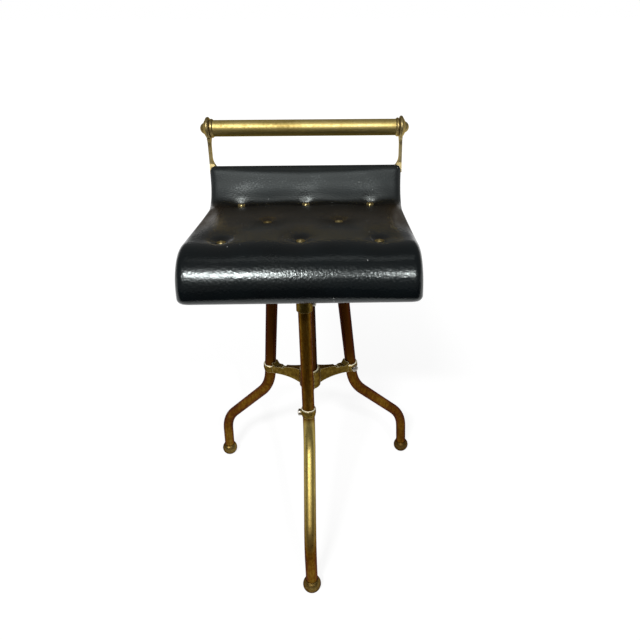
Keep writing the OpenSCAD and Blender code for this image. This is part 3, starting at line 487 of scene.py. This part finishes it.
def cast_iron():
    """Black paint over a sandy casting."""
    material, tree, shader = finish("plate_iron", (0.03, 0.028, 0.027), Metallic=0.3)
    sand = noise(tree, place(tree), 700, 6, 0.7)
    rust = noise(tree, place(tree), 40, 6)
    tree.links.new(ramp(tree, rust, [(0.5, (0.028, 0.026, 0.025)), (0.72, (0.09, 0.045, 0.02))]),
                   shader.inputs["Base Color"])
    tree.links.new(ramp(tree, sand, [(0.3, grey(0.62)), (0.7, grey(0.42))]),
                   shader.inputs["Roughness"])
    relief(tree, shader, sand, 0.0006, 0.5)
    return material


def board_wood():
    """Stained veneer with long grain across the seat and thin plies on its edges."""
    material, tree, shader = finish("board_wood", (0.22, 0.12, 0.055))
    grain = noise(tree, place(tree, (9, 260, 260)), 1.0, 6, 0.6)
    pores = noise(tree, place(tree, (60, 1500, 1500)), 1.0, 2)
    tone = blend_of(tree, [(0.75, grain), (0.25, pores)])
    tree.links.new(ramp(tree, tone, [(0.35, (0.11, 0.05, 0.02)), (0.52, (0.23, 0.125, 0.055)),
                                     (0.68, (0.36, 0.22, 0.11))]), shader.inputs["Base Color"])
    tree.links.new(ramp(tree, pores, [(0.3, grey(0.7)), (0.7, grey(0.45))]),
                   shader.inputs["Roughness"])
    relief(tree, shader, tone, 0.0004, 0.5)
    return material


def dust_cloth():
    """Black plain weave: two sets of threads, one across and one along the seat."""
    material, tree, shader = finish("lining_cloth", (0.012, 0.012, 0.013), Roughness=0.9)
    threads = []
    for across in ("X", "Y"):
        wave = tree.nodes.new("ShaderNodeTexWave")
        wave.bands_direction = across
        wave.inputs["Scale"].default_value = 260
        wave.inputs["Distortion"].default_value = 0.6
        tree.links.new(place(tree), wave.inputs["Vector"])
        threads.append(wave.outputs["Fac"])
    weave = sums(tree, "MAXIMUM", *threads)
    dust = noise(tree, place(tree), 30, 5)
    tree.links.new(ramp(tree, sums(tree, "MULTIPLY", weave, dust),
                        [(0.1, (0.006, 0.006, 0.007)), (0.7, (0.035, 0.033, 0.030))]),
                   shader.inputs["Base Color"])
    shader.inputs["Sheen Weight"].default_value = 0.2
    relief(tree, shader, weave, 0.0004, 0.6)
    return material


def fibre():
    """Pressed red-brown fibre with flecks."""
    material, tree, shader = finish("washer_fibre", (0.12, 0.045, 0.022), Roughness=0.7)
    flecks = noise(tree, place(tree), 900, 4, 0.7)
    tree.links.new(ramp(tree, flecks, [(0.35, (0.07, 0.022, 0.012)), (0.65, (0.17, 0.07, 0.035))]),
                   shader.inputs["Base Color"])
    relief(tree, shader, flecks, 0.0002, 0.4)
    return material


print("steel, iron, wood, cloth and fibre can be made")

# %% [markdown]
# ## Every node gets its finish
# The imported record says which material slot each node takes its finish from. The leather and
# the studs come later, with pieces of their own.

# %% Give the finishes out
finishes = {
    **brasses,
    "screw_steel": steel("screw_steel", (0.42, 0.39, 0.34), 0.28, (600, 600, 600)),
    "stem_steel": steel("stem_steel", (0.46, 0.45, 0.43), 0.16, (60, 60, 1400)),
    "plate_iron": cast_iron(),
    "board_wood": board_wood(),
    "lining_cloth": dust_cloth(),
    "washer_fibre": fibre(),
}

slot_of = {part["node"]: part["material_slot"] for part in frame["record"]["subparts"]}
for name, piece in frame["nodes"].items():
    if slot_of[name] in finishes:
        for material_slot in piece.material_slots:
            material_slot.material = finishes[slot_of[name]]
print("finished", sum(slot in finishes for slot in slot_of.values()), "of", len(slot_of), "pieces")

# %% [markdown]
# ## The seat's profile
# The board under the leather is bent like a lazy S: a straight stretch that falls a little
# to the back, a roll that turns down at the front and a sweep up to the back edge. Points of
# the seat are given by x across it, s along its middle line, from the column backwards, and
# n outwards from that line. The heading is the line's angle at s, and the line itself is a
# straight part, two arcs and two short straight tails.

# %% Profile functions
seat_width, seat_z, column_y = 0.340, 0.5985, 0.015547
fall = math.radians(6.6)
front_flat, front_radius, front_turn, front_tail = 0.1015, 0.045, math.radians(86.0), 0.0085
back_flat, back_radius, back_turn, back_tail = 0.0956, 0.060, math.radians(76.6), 0.017
wrap, pad_up, pad_down, board_top, crown, side_draw = 0.010, 0.014, 0.013, -0.004, 0.0035, 0.0015
front_arc, back_arc = front_radius * front_turn, back_radius * back_turn
board_front, board_back = front_flat + front_arc + front_tail, back_flat + back_arc + back_tail
pad_front, pad_back = board_front + wrap, board_back + wrap
half_width = seat_width / 2


def heading(s):
    """Angle of the middle line above the backward direction: the fall, plus arc over radius."""
    rise = np.clip(s - back_flat, 0, back_arc) / back_radius
    roll = np.clip(-s - front_flat, 0, front_arc) / front_radius
    return rise + roll - fall


def middle_line(s):
    """Place (y, z) on the middle line: flat part, then radius times the turned chord, then tail."""
    s = np.asarray(s, float)
    h = heading(s)
    flat_s = np.clip(s, -front_flat, back_flat)
    y, z = flat_s * math.cos(fall), seat_z - flat_s * math.sin(fall)
    radius = np.where(s > back_flat, back_radius, -front_radius) * (np.abs(s - flat_s) > 0)
    y = y + radius * (np.sin(h) + math.sin(fall))
    z = z + radius * (math.cos(fall) - np.cos(h))
    tail = np.maximum(0, s - back_flat - back_arc) - np.maximum(0, -s - front_flat - front_arc)
    return y + tail * np.cos(h), z + tail * np.sin(h)


def on_seat(x, s, n):
    """Points at x across, s along and n out from the middle line."""
    y, z = middle_line(s)
    h = heading(s)
    return np.stack(np.broadcast_arrays(x, column_y + y - n * np.sin(h), z + n * np.cos(h)), -1)


print("board from", -round(board_front, 4), "to", round(board_back, 4))

# %% [markdown]
# ## The buttoned leather
# The cover is one hide over horsehair, drawn round the board's edge and pulled down by eight
# studs. Its upper side is a pillow: a rounded edge, a low crown, a tight dimple and a wide
# hollow at every stud, and soft folds that link the studs in diamonds. A dimple is a bell over
# the distance to its stud, and a fold a bell over the distance to the line between two studs.

# %% Studs, dimples and folds
stud_pitch = 0.1124
back_row, middle_row, front_row = 0.1175, 0.0066, -0.0900
stud_places = np.array(
    [(i * stud_pitch, back_row) for i in (-1, 0, 1)]
    + [(i * stud_pitch, middle_row) for i in (-0.5, 0.5)]
    + [(i * stud_pitch, front_row) for i in (-1, 0, 1)])
folds = [(0, 3), (1, 3), (1, 4), (2, 4), (3, 5), (3, 6), (4, 6), (4, 7)]
tight_depth, tight_flat, tight_width = 0.0032, 0.0055, 0.0070
wide_depth, wide_width = 0.0028, 0.025
fold_depth, fold_width = 0.0006, 0.013


def from_studs(x, s):
    """Distance from each stud, one layer a stud."""
    return np.hypot(x[None] - stud_places[:, 0, None, None],
                    s[None] - stud_places[:, 1, None, None])


def tufting(x, s):
    """Depth drawn in: a tight dimple and a wide hollow round each stud, and the folds."""
    d = from_studs(x, s)
    tight = tight_depth * np.exp(-((np.maximum(0, d - tight_flat) / tight_width) ** 2))
    wide = wide_depth * np.exp(-((d / wide_width) ** 2))
    depth = (tight + wide).sum(0)
    for a, b in folds:
        p, q = stud_places[a], stud_places[b]
        run = q - p
        t = np.clip(((x - p[0]) * run[0] + (s - p[1]) * run[1]) / (run @ run), 0, 1)
        off = np.hypot(x - p[0] - t * run[0], s - p[1] - t * run[1])
        depth_here = fold_depth * (1 - 0.5 * np.sin(math.pi * t))
        depth = np.maximum(depth, depth_here * np.exp(-((off / fold_width) ** 2)))
    return depth


print(len(stud_places), "studs,", len(folds), "folds")

# %% [markdown]
# ## The cover's two sides
# Both sides are grids over the same places x and s and share their border, so the cover is
# closed. A quarter circle rounds the upper side's edge. The under side wraps the board's edge,
# then steps up to lie on the board. Seen from above, the corners are round and the sides draw
# in a little halfway along, as stretched hide does.

# %% Upper side, under side and outline
top_rounding, under_rounding, lip, board_gap = 0.014, 0.0087, 0.0092, 0.0003


def rounding(edge, radius):
    """0 at the edge, rising along a quarter circle to 1 at the radius."""
    return np.sqrt(1 - (1 - np.clip(edge / radius, 0, 1)) ** 2)


def edge_distance(x, s):
    """Distance in from the side edge, and in from the nearer end."""
    return half_width - np.abs(x), np.minimum(s + pad_front, pad_back - s)


def along(s):
    """0 at the front edge of the cover, 1 at the back edge."""
    return (s + pad_front) / (pad_front + pad_back)


def cover_top(x, s):
    """Normal offset of the upper side: a pillow with a crown, less the tufting."""
    side, end = edge_distance(x, s)
    dome = crown * (1 - (x / half_width) ** 2) * (1 - (2 * along(s) - 1) ** 2)
    pillow = pad_up * rounding(side, top_rounding) * rounding(end, top_rounding)
    return pillow + dome - tufting(x, s)


def cover_under(x, s):
    """Normal offset of the under side: round the board's edge, then up to the board's top."""
    side, end = edge_distance(x, s)
    lower = -pad_down * rounding(side, under_rounding) * rounding(end, under_rounding)
    return np.where(np.minimum(side, end) > lip, board_top + board_gap, lower)


def plan_x(x, s):
    """Outline seen from above: round corners, and sides that draw in halfway along."""
    side, end = edge_distance(x, s)
    bend = np.sqrt(np.maximum(0, wrap**2 - np.maximum(0, wrap - end) ** 2))
    corner = np.where(end >= wrap, 1, (half_width - wrap + bend) / half_width)
    share = np.maximum(0, 1 - side / under_rounding)
    return corner * (x - np.sign(x) * side_draw * share * np.sin(math.pi * along(s)))


print("cover", round(pad_front + pad_back, 4), "long by", seat_width, "wide")

# %% [markdown]
# ## Grids of the cover
# A rounded edge needs points close together, and a flat middle needs few. So the places across
# and along the cover start with a fixed list of small steps at each edge and go on evenly
# between them. The two sides are then points on the seat at those places.

# %% Grids of the cover
grid_step = 0.0042


def spread(low, high, step):
    """Places from low to high: close together on the rounded edges and even between them."""
    edge = np.array([0, 0.0007, 0.0024, 0.0048, 0.0072, 0.0087, 0.0097, 0.0120, 0.0145])
    inner = np.linspace(low + edge[-1], high - edge[-1], round((high - low) / step))[1:-1]
    return np.concatenate([low + edge, inner, high - edge[::-1]])


columns = spread(-half_width, half_width, grid_step)
rows = spread(-pad_front, pad_back, grid_step)
xs, ss = np.meshgrid(columns, rows)
top = on_seat(plan_x(xs, ss), ss, cover_top(xs, ss))
under = on_seat(plan_x(xs, ss), ss, cover_under(xs, ss))
print("cover grid", xs.shape)

# %% [markdown]
# ## One skin from two grids
# Two grids make one skin when the under side uses the upper side's border points. The index
# table below does that, and every face is written anticlockwise as seen from outside. Each
# point also remembers where it lies on the hide, as a UV map in metres, so that the grain
# follows the leather round the roll.

# %% Mesh of the cover
def closed_skin(name, upper, lower):
    """One mesh from two grids of points with a shared border, faces outwards."""
    nr, nc = upper.shape[:2]
    up = np.arange(nr * nc).reshape(nr, nc)
    down = up.copy()
    down[1:-1, 1:-1] = nr * nc + np.arange((nr - 2) * (nc - 2)).reshape(nr - 2, nc - 2)
    points = np.concatenate([upper.reshape(-1, 3), lower[1:-1, 1:-1].reshape(-1, 3)])

    def quads(t, order):
        """The four corners of every cell of a table, in the given order."""
        corners = (t[:-1, :-1], t[:-1, 1:], t[1:, 1:], t[1:, :-1])
        return np.stack([corners[k] for k in order], -1).reshape(-1, 4)

    faces = np.concatenate([quads(up, (0, 1, 2, 3)), quads(down, (0, 3, 2, 1))])
    mesh = bpy.data.meshes.new(name)
    mesh.from_pydata(points, [], faces.tolist())
    mesh.polygons.foreach_set("use_smooth", np.ones(len(faces), bool))
    return mesh


def give_uv(mesh, u, v):
    """UV map from one u and v per point."""
    layer = mesh.uv_layers.new(name="hide")
    corner = np.empty(len(mesh.loops), np.int32)
    mesh.loops.foreach_get("vertex_index", corner)
    layer.data.foreach_set("uv", np.stack([u[corner], v[corner]], -1).ravel())


def give_value(mesh, name, values):
    """A named value for each point."""
    mesh.attributes.new(name, "FLOAT", "POINT").data.foreach_set("value", values.astype(np.float32))


def both_sides(grid):
    """A value of the grid for the points of the upper and then of the lower side."""
    return np.concatenate([grid.ravel(), grid[1:-1, 1:-1].ravel()])


cover_mesh = closed_skin("leather_cover", top, under)
give_uv(cover_mesh, both_sides(xs), both_sides(ss))
cover = bpy.data.objects.new("leather_cover", cover_mesh)
scene.collection.objects.link(cover)

is_under = np.arange(len(cover_mesh.vertices)) >= xs.size
print("cover", len(cover_mesh.vertices), "points")

# %% [markdown]
# ## Where the hide is worn
# Sitters have worn the hollow brown, most of all at its sides, where the hide is chafed dull
# as well. The deeper a tuft, the more its colour goes to a dark brown. The upright back has lost
# its polish except round its studs. Each is a value at every point of the cover, 0 for none of
# it and 1 or more for all, and the finish reads it.

# %% Values for the wear
tuft_full_depth = 0.006
back_start, back_fade = 0.118, 0.012
polish, polish_above, polish_reach = 0.62, 0.021, 0.026
across = np.abs(xs) / half_width


def plateau(values, middle, reach):
    """1 round the middle, falling to 0 past the reach on either side."""
    return np.exp(-(((values - middle) / reach) ** 4))


above_stud = from_studs(xs, ss - polish_above).min(0) / polish_reach
polished = polish * np.exp(-(above_stud ** 2))
wear = {
    "brown": plateau(ss, 0.030, 0.075) * (0.50 + 0.9 * across ** 6),
    "tuft_tint": np.clip(tufting(xs, ss) / tuft_full_depth, 0, 1),
    "dull": np.clip((ss - back_start) / back_fade, 0, 1) * (1 - polished),
    "chafed": plateau(ss, 0.020, 0.085) * np.clip(across / 0.22 - 3.4, 0, 1),
}
for kind, values in wear.items():
    give_value(cover_mesh, kind, both_sides(values))
    print(kind, "mean", round(float(values.mean()), 3))

# %% [markdown]
# ## Stuffing by cloth simulation
# A drawn pillow looks too even. The stuffing is pressed into the cover by Blender's cloth: the
# skin is held at the studs and all round its under side, a gentle pressure swells it, and the
# leather is a touch larger than its shape, so it puckers towards the studs. Gravity is off
# and twenty steps are enough. What each point has moved is smoothed, and a soft cap keeps it
# under a few millimetres. Then the move is applied to the mesh and the cloth is taken off.

# %% Cloth simulation of the cover
side_edge, end_edge = edge_distance(xs, ss)
held_round_stud, held_border = 0.0068, 0.0015
swell_cap, cloth_steps, smoothing_passes = 0.0045, 20, 6
at_border = np.minimum(side_edge, end_edge) < held_border
held_top = (from_studs(xs, ss).min(0) < held_round_stud) | at_border
held = np.concatenate([held_top.ravel(), is_under[xs.size:]])
start = np.empty(len(cover_mesh.vertices) * 3)
cover_mesh.vertices.foreach_get("co", start)
start = start.reshape(-1, 3)

group = cover.vertex_groups.new(name="held")
group.add(np.flatnonzero(held).tolist(), 1.0, "REPLACE")
cloth = cover.modifiers.new("stuffing", "CLOTH")
cloth.settings.quality = 6
cloth.settings.mass = 0.3
cloth.settings.tension_stiffness = cloth.settings.compression_stiffness = 25
cloth.settings.shear_stiffness = 12
cloth.settings.bending_stiffness = 0.6
cloth.settings.vertex_group_mass = "held"
cloth.settings.use_pressure = True
cloth.settings.uniform_pressure_force = 4.0
cloth.settings.shrink_min = -0.002
cloth.settings.effector_weights.gravity = 0
cloth.collision_settings.use_collision = False
cloth.point_cache.frame_start, cloth.point_cache.frame_end = 1, cloth_steps
for step in range(1, cloth_steps + 1):
    scene.frame_set(step)
puffed = cover.evaluated_get(bpy.context.evaluated_depsgraph_get())
swollen = np.empty_like(start).ravel()
puffed.data.vertices.foreach_get("co", swollen)
moved = swollen.reshape(-1, 3) - start
over = moved[:xs.size].reshape(*xs.shape, 3)
high, wide = xs.shape
for _ in range(smoothing_passes):
    over[1:-1, 1:-1] = sum(over[1 + i:high - 1 + i, 1 + j:wide - 1 + j]
                           for i in (-1, 0, 1) for j in (-1, 0, 1)) / 9
moved[held] = 0
length = np.linalg.norm(moved, axis=1, keepdims=True)
moved *= swell_cap * np.tanh(length / swell_cap) / np.maximum(length, 1e-9)
cover.modifiers.remove(cloth)
cover.vertex_groups.clear()
cover_mesh.vertices.foreach_set("co", (start + moved).ravel())
cover_mesh.update()
scene.frame_set(1)
print("swell: mean %.2f mm, most %.2f mm before the cap"
      % (length.mean() * 1e3, length.max() * 1e3))

smooth = cover.modifiers.new("smooth", "SUBSURF")
smooth.levels = smooth.render_levels = 1

# %% [markdown]
# ## Leather finish
# Polished black hide has a fine grain that breaks its highlights into sparkles, a bluish cast
# where it is clean, and a brown one in the hollow where sitters have worn the dye. Creases of
# about three millimetres make most of the grain, with smaller pebbles and pores between them.
# A rough place is a dull one, so creases, slow clouds and the wear together set the roughness.
# A few pale nicks show on the roll.

# %% Leather
crease_scale, pebble_scale, pore_scale, cloud_scale = 310, 620, 1500, 16
nick_scale, nick_size = 110, 0.075
hide_relief = 0.0007


def point_value(tree, name):
    """A value that the mesh carries at its points."""
    carried = tree.nodes.new("ShaderNodeAttribute")
    carried.attribute_name = name
    return carried.outputs["Fac"]


def leather():
    """Black hide: grained, brown where worn, toned dark brown in the tufts and dull where chafed.
    """
    material, tree, shader = finish("seat_leather", (0.010, 0.011, 0.013))
    uv = tree.nodes.new("ShaderNodeUVMap")
    uv.uv_map = "hide"
    hide = uv.outputs["UV"]
    pebbles = tree.nodes.new("ShaderNodeTexVoronoi")
    pebbles.feature = "SMOOTH_F1"
    pebbles.inputs["Scale"].default_value = pebble_scale
    tree.links.new(hide, pebbles.inputs["Vector"])
    pores = noise(tree, hide, pore_scale, 3, 0.7)
    creases = noise(tree, hide, crease_scale, 1.5, 0.5)
    clouds = noise(tree, hide, cloud_scale, 4)
    brown, tuft_tint, dull, chafed = (point_value(tree, kind) for kind in wear)

    clean = ramp(tree, clouds, [(0.35, (0.0004, 0.0010, 0.0014)),
                                (0.65, (0.0018, 0.0032, 0.0040))])
    worn = sums(tree, "MULTIPLY", brown, ramp(tree, clouds, [(0.3, grey(0.6)), (0.7, grey(1))]))
    tinted = mix_colour(tree, worn, clean, (0.024, 0.013, 0.003))
    # the colour goes towards a dark brown with the depth of the tufts
    tuft_toned = mix_colour(tree, sums(tree, "MULTIPLY", tuft_tint, 0.6), tinted, (0.006, 0.004, 0.0015))
    nicks = tree.nodes.new("ShaderNodeTexVoronoi")
    nicks.inputs["Scale"].default_value = nick_scale
    tree.links.new(hide, nicks.inputs["Vector"])
    nick = sums(tree, "MULTIPLY", sums(tree, "LESS_THAN", nicks.outputs["Distance"], nick_size),
                sums(tree, "GREATER_THAN", noise(tree, hide, 28, 2), 0.60))
    tree.links.new(mix_colour(tree, nick, tuft_toned, (0.30, 0.31, 0.30)), shader.inputs["Base Color"])

    smooth_share = sums(tree, "SUBTRACT", blend_of(tree, [(0.5, creases), (0.5, clouds)]),
                        sums(tree, "MULTIPLY", sums(tree, "MAXIMUM", dull, chafed), 0.55))
    tree.links.new(ramp(tree, smooth_share, [(0.0, grey(0.60)), (0.35, grey(0.27)),
                                             (0.65, grey(0.17))]), shader.inputs["Roughness"])
    tree.links.new(fade(tree, chafed, 0, 1, 0.5, 0.06), shader.inputs["Specular IOR Level"])
    tree.links.new(ramp(tree, brown, [(0.0, (0.92, 1.0, 0.985)), (0.6, (1.0, 0.93, 0.66))]),
                   shader.inputs["Specular Tint"])
    height = blend_of(tree, [(0.22, pebbles.outputs["Distance"]), (0.06, pores),
                             (0.85, creases)])
    relief(tree, shader, height, hide_relief, 0.55)
    return material


hide_finish = leather()
cover_mesh.materials.append(hide_finish)
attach(cover, "seat")
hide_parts("seat_pad")
print("leather on", cover.name)

# %% [markdown]
# ## Studs
# Each stud is a small brass button: a bright dome in a shallow dish with a rolled rim. That is
# one profile turned about the stud's own axis, which is the seat's normal where it sits. A
# profile carried round a circle is a grid of angle and place on the profile.

# %% Studs
stud_profile = np.array([
    (0.0, 3.0), (1.1, 2.85), (2.2, 2.3), (3.0, 1.5), (3.4, 0.8), (3.9, 0.5), (4.6, 0.5),
    (5.2, 0.8), (5.8, 1.0), (6.3, 0.8), (6.5, 0.4), (6.3, 0.0), (5.6, -0.2), (0.0, -0.2)]) * 1e-3


def turned(profile, segments=48):
    """Points and faces of a profile (radius, height) turned about Z, with closed poles."""
    angle = np.linspace(0, 2 * math.pi, segments, endpoint=False)
    ring = profile[1:-1]
    points = np.stack([ring[:, :1] * np.cos(angle), ring[:, :1] * np.sin(angle),
                       np.repeat(ring[:, 1:], segments, 1)], -1).reshape(-1, 3)
    n = len(ring)
    index = np.arange(n * segments).reshape(n, segments)
    nxt = np.roll(index, -1, 1)
    quads = np.stack([index[1:], nxt[1:], nxt[:-1], index[:-1]], -1).reshape(-1, 4).tolist()
    first, last = n * segments, n * segments + 1
    points = np.vstack([points, (0, 0, profile[0, 1]), (0, 0, profile[-1, 1])])
    caps = [(first, a, b) for a, b in zip(index[0], nxt[0])]
    caps += [(last, b, a) for a, b in zip(index[-1], nxt[-1])]
    return points, quads + [tuple(map(int, c)) for c in caps]


def standing(points, x, s, n):
    """Carries points from the Z axis to the seat: +Z along the normal at x, s and offset n."""
    h = float(heading(np.float64(s)))
    across, back = points[:, 0], points[:, 1]
    base = on_seat(x, s, n)
    return base + np.stack([across, back * math.cos(h) - points[:, 2] * math.sin(h),
                            back * math.sin(h) + points[:, 2] * math.cos(h)], -1)


def joined(name, parts, material):
    """One smooth mesh object from several (points, faces) parts."""
    points, faces, start_at = [], [], 0
    for part_points, part_faces in parts:
        points.append(part_points)
        faces += [tuple(int(k) + start_at for k in face) for face in part_faces]
        start_at += len(part_points)
    mesh = bpy.data.meshes.new(name)
    mesh.from_pydata(np.concatenate(points), [], faces)
    mesh.polygons.foreach_set("use_smooth", np.ones(len(faces), bool))
    mesh.materials.append(material)
    piece = bpy.data.objects.new(name, mesh)
    scene.collection.objects.link(piece)
    return piece


stud_points, stud_faces = turned(stud_profile)
stud_lift = 0.0002
stud_heights = [float(cover_top(np.array([[x]]), np.array([[s]]))[0, 0]) for x, s in stud_places]
studs = joined("studs", [
    (standing(stud_points, x, s, height + stud_lift), stud_faces)
    for (x, s), height in zip(stud_places, stud_heights)], finishes["stud_brass"])
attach(studs, "seat")
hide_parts("seat_studs")
print("studs", len(studs.data.polygons), "faces")

# %% [markdown]
# ## Rims with a painted highlight
# Where the legs enter the spider's collars, and the column its hub, a fillet is painted pale
# cream as a highlight. Each is a ring: a small circle carried round the tube, tilted with the
# leg. A ring point is the tube's radius plus the small circle's, turned about the leg's own axis.

# %% Rims on the collars and the hub
leg_lean, collar_out, collar_z, collar_half = math.radians(6.25), 0.0901, 0.2995, 0.0075
hub_top, rim_section, collar_rim, hub_rim = 0.327, 0.0011, 0.0113, 0.0153


def ring(major, minor, around=64, section=10):
    """Points and faces of a ring about Z."""
    a, b = np.meshgrid(np.arange(around) * 2 * math.pi / around,
                       np.arange(section) * 2 * math.pi / section)
    r = major + minor * np.cos(b)
    points = np.stack([r * np.cos(a), r * np.sin(a), minor * np.sin(b)], -1).reshape(-1, 3)
    index = np.arange(around * section).reshape(section, around)
    right, up = np.roll(index, -1, 1), np.roll(index, -1, 0)
    both_on = np.roll(right, -1, 0)
    return points, np.stack([index, right, both_on, up], -1).reshape(-1, 4).tolist()


ring_points, ring_faces = ring(collar_rim, rim_section)
rim_parts = []
for turn in (-90, 30, 150):
    to_leg = Matrix.Translation((0, column_y, 0)) @ Matrix.Rotation(math.radians(turn), 4, "Z")
    to_leg = to_leg @ Matrix.Translation((collar_out, 0, collar_z))
    to_leg = to_leg @ Matrix.Rotation(-leg_lean, 4, "Y")
    m = np.array(to_leg @ Matrix.Translation((0, 0, collar_half)))
    rim_parts.append((ring_points @ m[:3, :3].T + m[:3, 3], ring_faces))
hub_points, hub_faces = ring(hub_rim, rim_section)
rim_parts.append((hub_points + (0, column_y, hub_top), hub_faces))
rims = joined("rims", rim_parts, finishes["rim_brass"])
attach(rims, "base")
print("rims", len(rims.data.polygons), "faces")

# %% [markdown]
# ## Hem and tacks under the seat
# The hide is turned under the board and tacked, and the dust cloth's edge lies over the hem
# with tacks of its own. The hem is a thin flat profile carried round a rounded rectangle just
# inside the board's edge. The tacks are one small dome repeated along a smaller rectangle.

# %% Hem and tacks
def rectangle_path(inset, radius, spacing):
    """Places (x, s), evenly spaced, on a rounded rectangle at an inset from the cover's edge."""
    x1, s0, s1 = half_width - inset, -pad_front + inset, pad_back - inset
    corners = [(x1, s0, -90), (x1, s1, 0), (-x1, s1, 90), (-x1, s0, 180)]
    points = []
    for x, s, begin in corners:
        cx, cs = x - math.copysign(radius, x), s - math.copysign(radius, s)
        a = np.radians(begin + np.linspace(0, 90, 9))
        points += list(zip(cx + radius * np.cos(a), cs + radius * np.sin(a)))
    loop = np.array(points + points[:1])
    run = np.concatenate([[0], np.cumsum(np.hypot(*np.diff(loop, axis=0).T))])
    count = round(run[-1] / spacing)
    at = np.linspace(0, run[-1], count, endpoint=False)
    return np.stack([np.interp(at, run, loop[:, 0]), np.interp(at, run, loop[:, 1])], -1)


def band(outer, inner, n_up, n_down):
    """Flat ring between two loops of equal count, from normal n_up down to n_down."""
    x = np.stack([outer[:, 0], outer[:, 0], inner[:, 0], inner[:, 0]])
    s = np.stack([outer[:, 1], outer[:, 1], inner[:, 1], inner[:, 1]])
    n = np.array([n_up, n_down, n_down, n_up])[:, None] * np.ones_like(x)
    points = on_seat(x, s, n).reshape(-1, 3)
    index = np.arange(x.size).reshape(x.shape)
    around, along = np.roll(index, -1, 0), np.roll(index, -1, 1)
    both = np.roll(along, -1, 0)
    return points, np.stack([index, around, both, along], -1).reshape(-1, 4).tolist()


hem_edge, hem_side, hem_front, hem_back = 0.0078, 0.033, 0.026, 0.022
hem_high, hem_low = -0.01305, -0.01328
hem_outer = rectangle_path(hem_edge, 0.006, 0.004)
hem_inner = np.stack([hem_outer[:, 0] * (half_width - hem_side) / (half_width - hem_edge),
                      np.clip(hem_outer[:, 1], -pad_front + hem_front, pad_back - hem_back)], -1)
hem = joined("hem", [band(hem_outer, hem_inner, hem_high, hem_low)], hide_finish)
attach(hem, "seat")

tack_profile = np.array([(0, 1.3), (0.9, 1.15), (1.7, 0.7), (2.1, 0.0), (0, 0.0)]) * 1e-3
tack_points, tack_faces = turned(tack_profile, 10)
lining_gap, lining_thick, tack_spacing = 0.0003, 0.0012, 0.019
tack_side, tack_front, tack_back = 0.1345, 0.0165, 0.0125
lining_low = -pad_down - lining_gap - lining_thick
tack_loop = rectangle_path(0.0, 0.004, tack_spacing)
tack_places = np.stack([tack_loop[:, 0] * tack_side / half_width,
                        np.clip(tack_loop[:, 1], tack_front - board_front,
                                board_back - tack_back)], -1)
tacks = joined("tacks", [
    (standing(tack_points * (1, 1, -1), x, s, lining_low), [f[::-1] for f in tack_faces])
    for x, s in tack_places], finishes["plate_iron"])
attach(tacks, "seat")
print("tacks", len(tack_places))
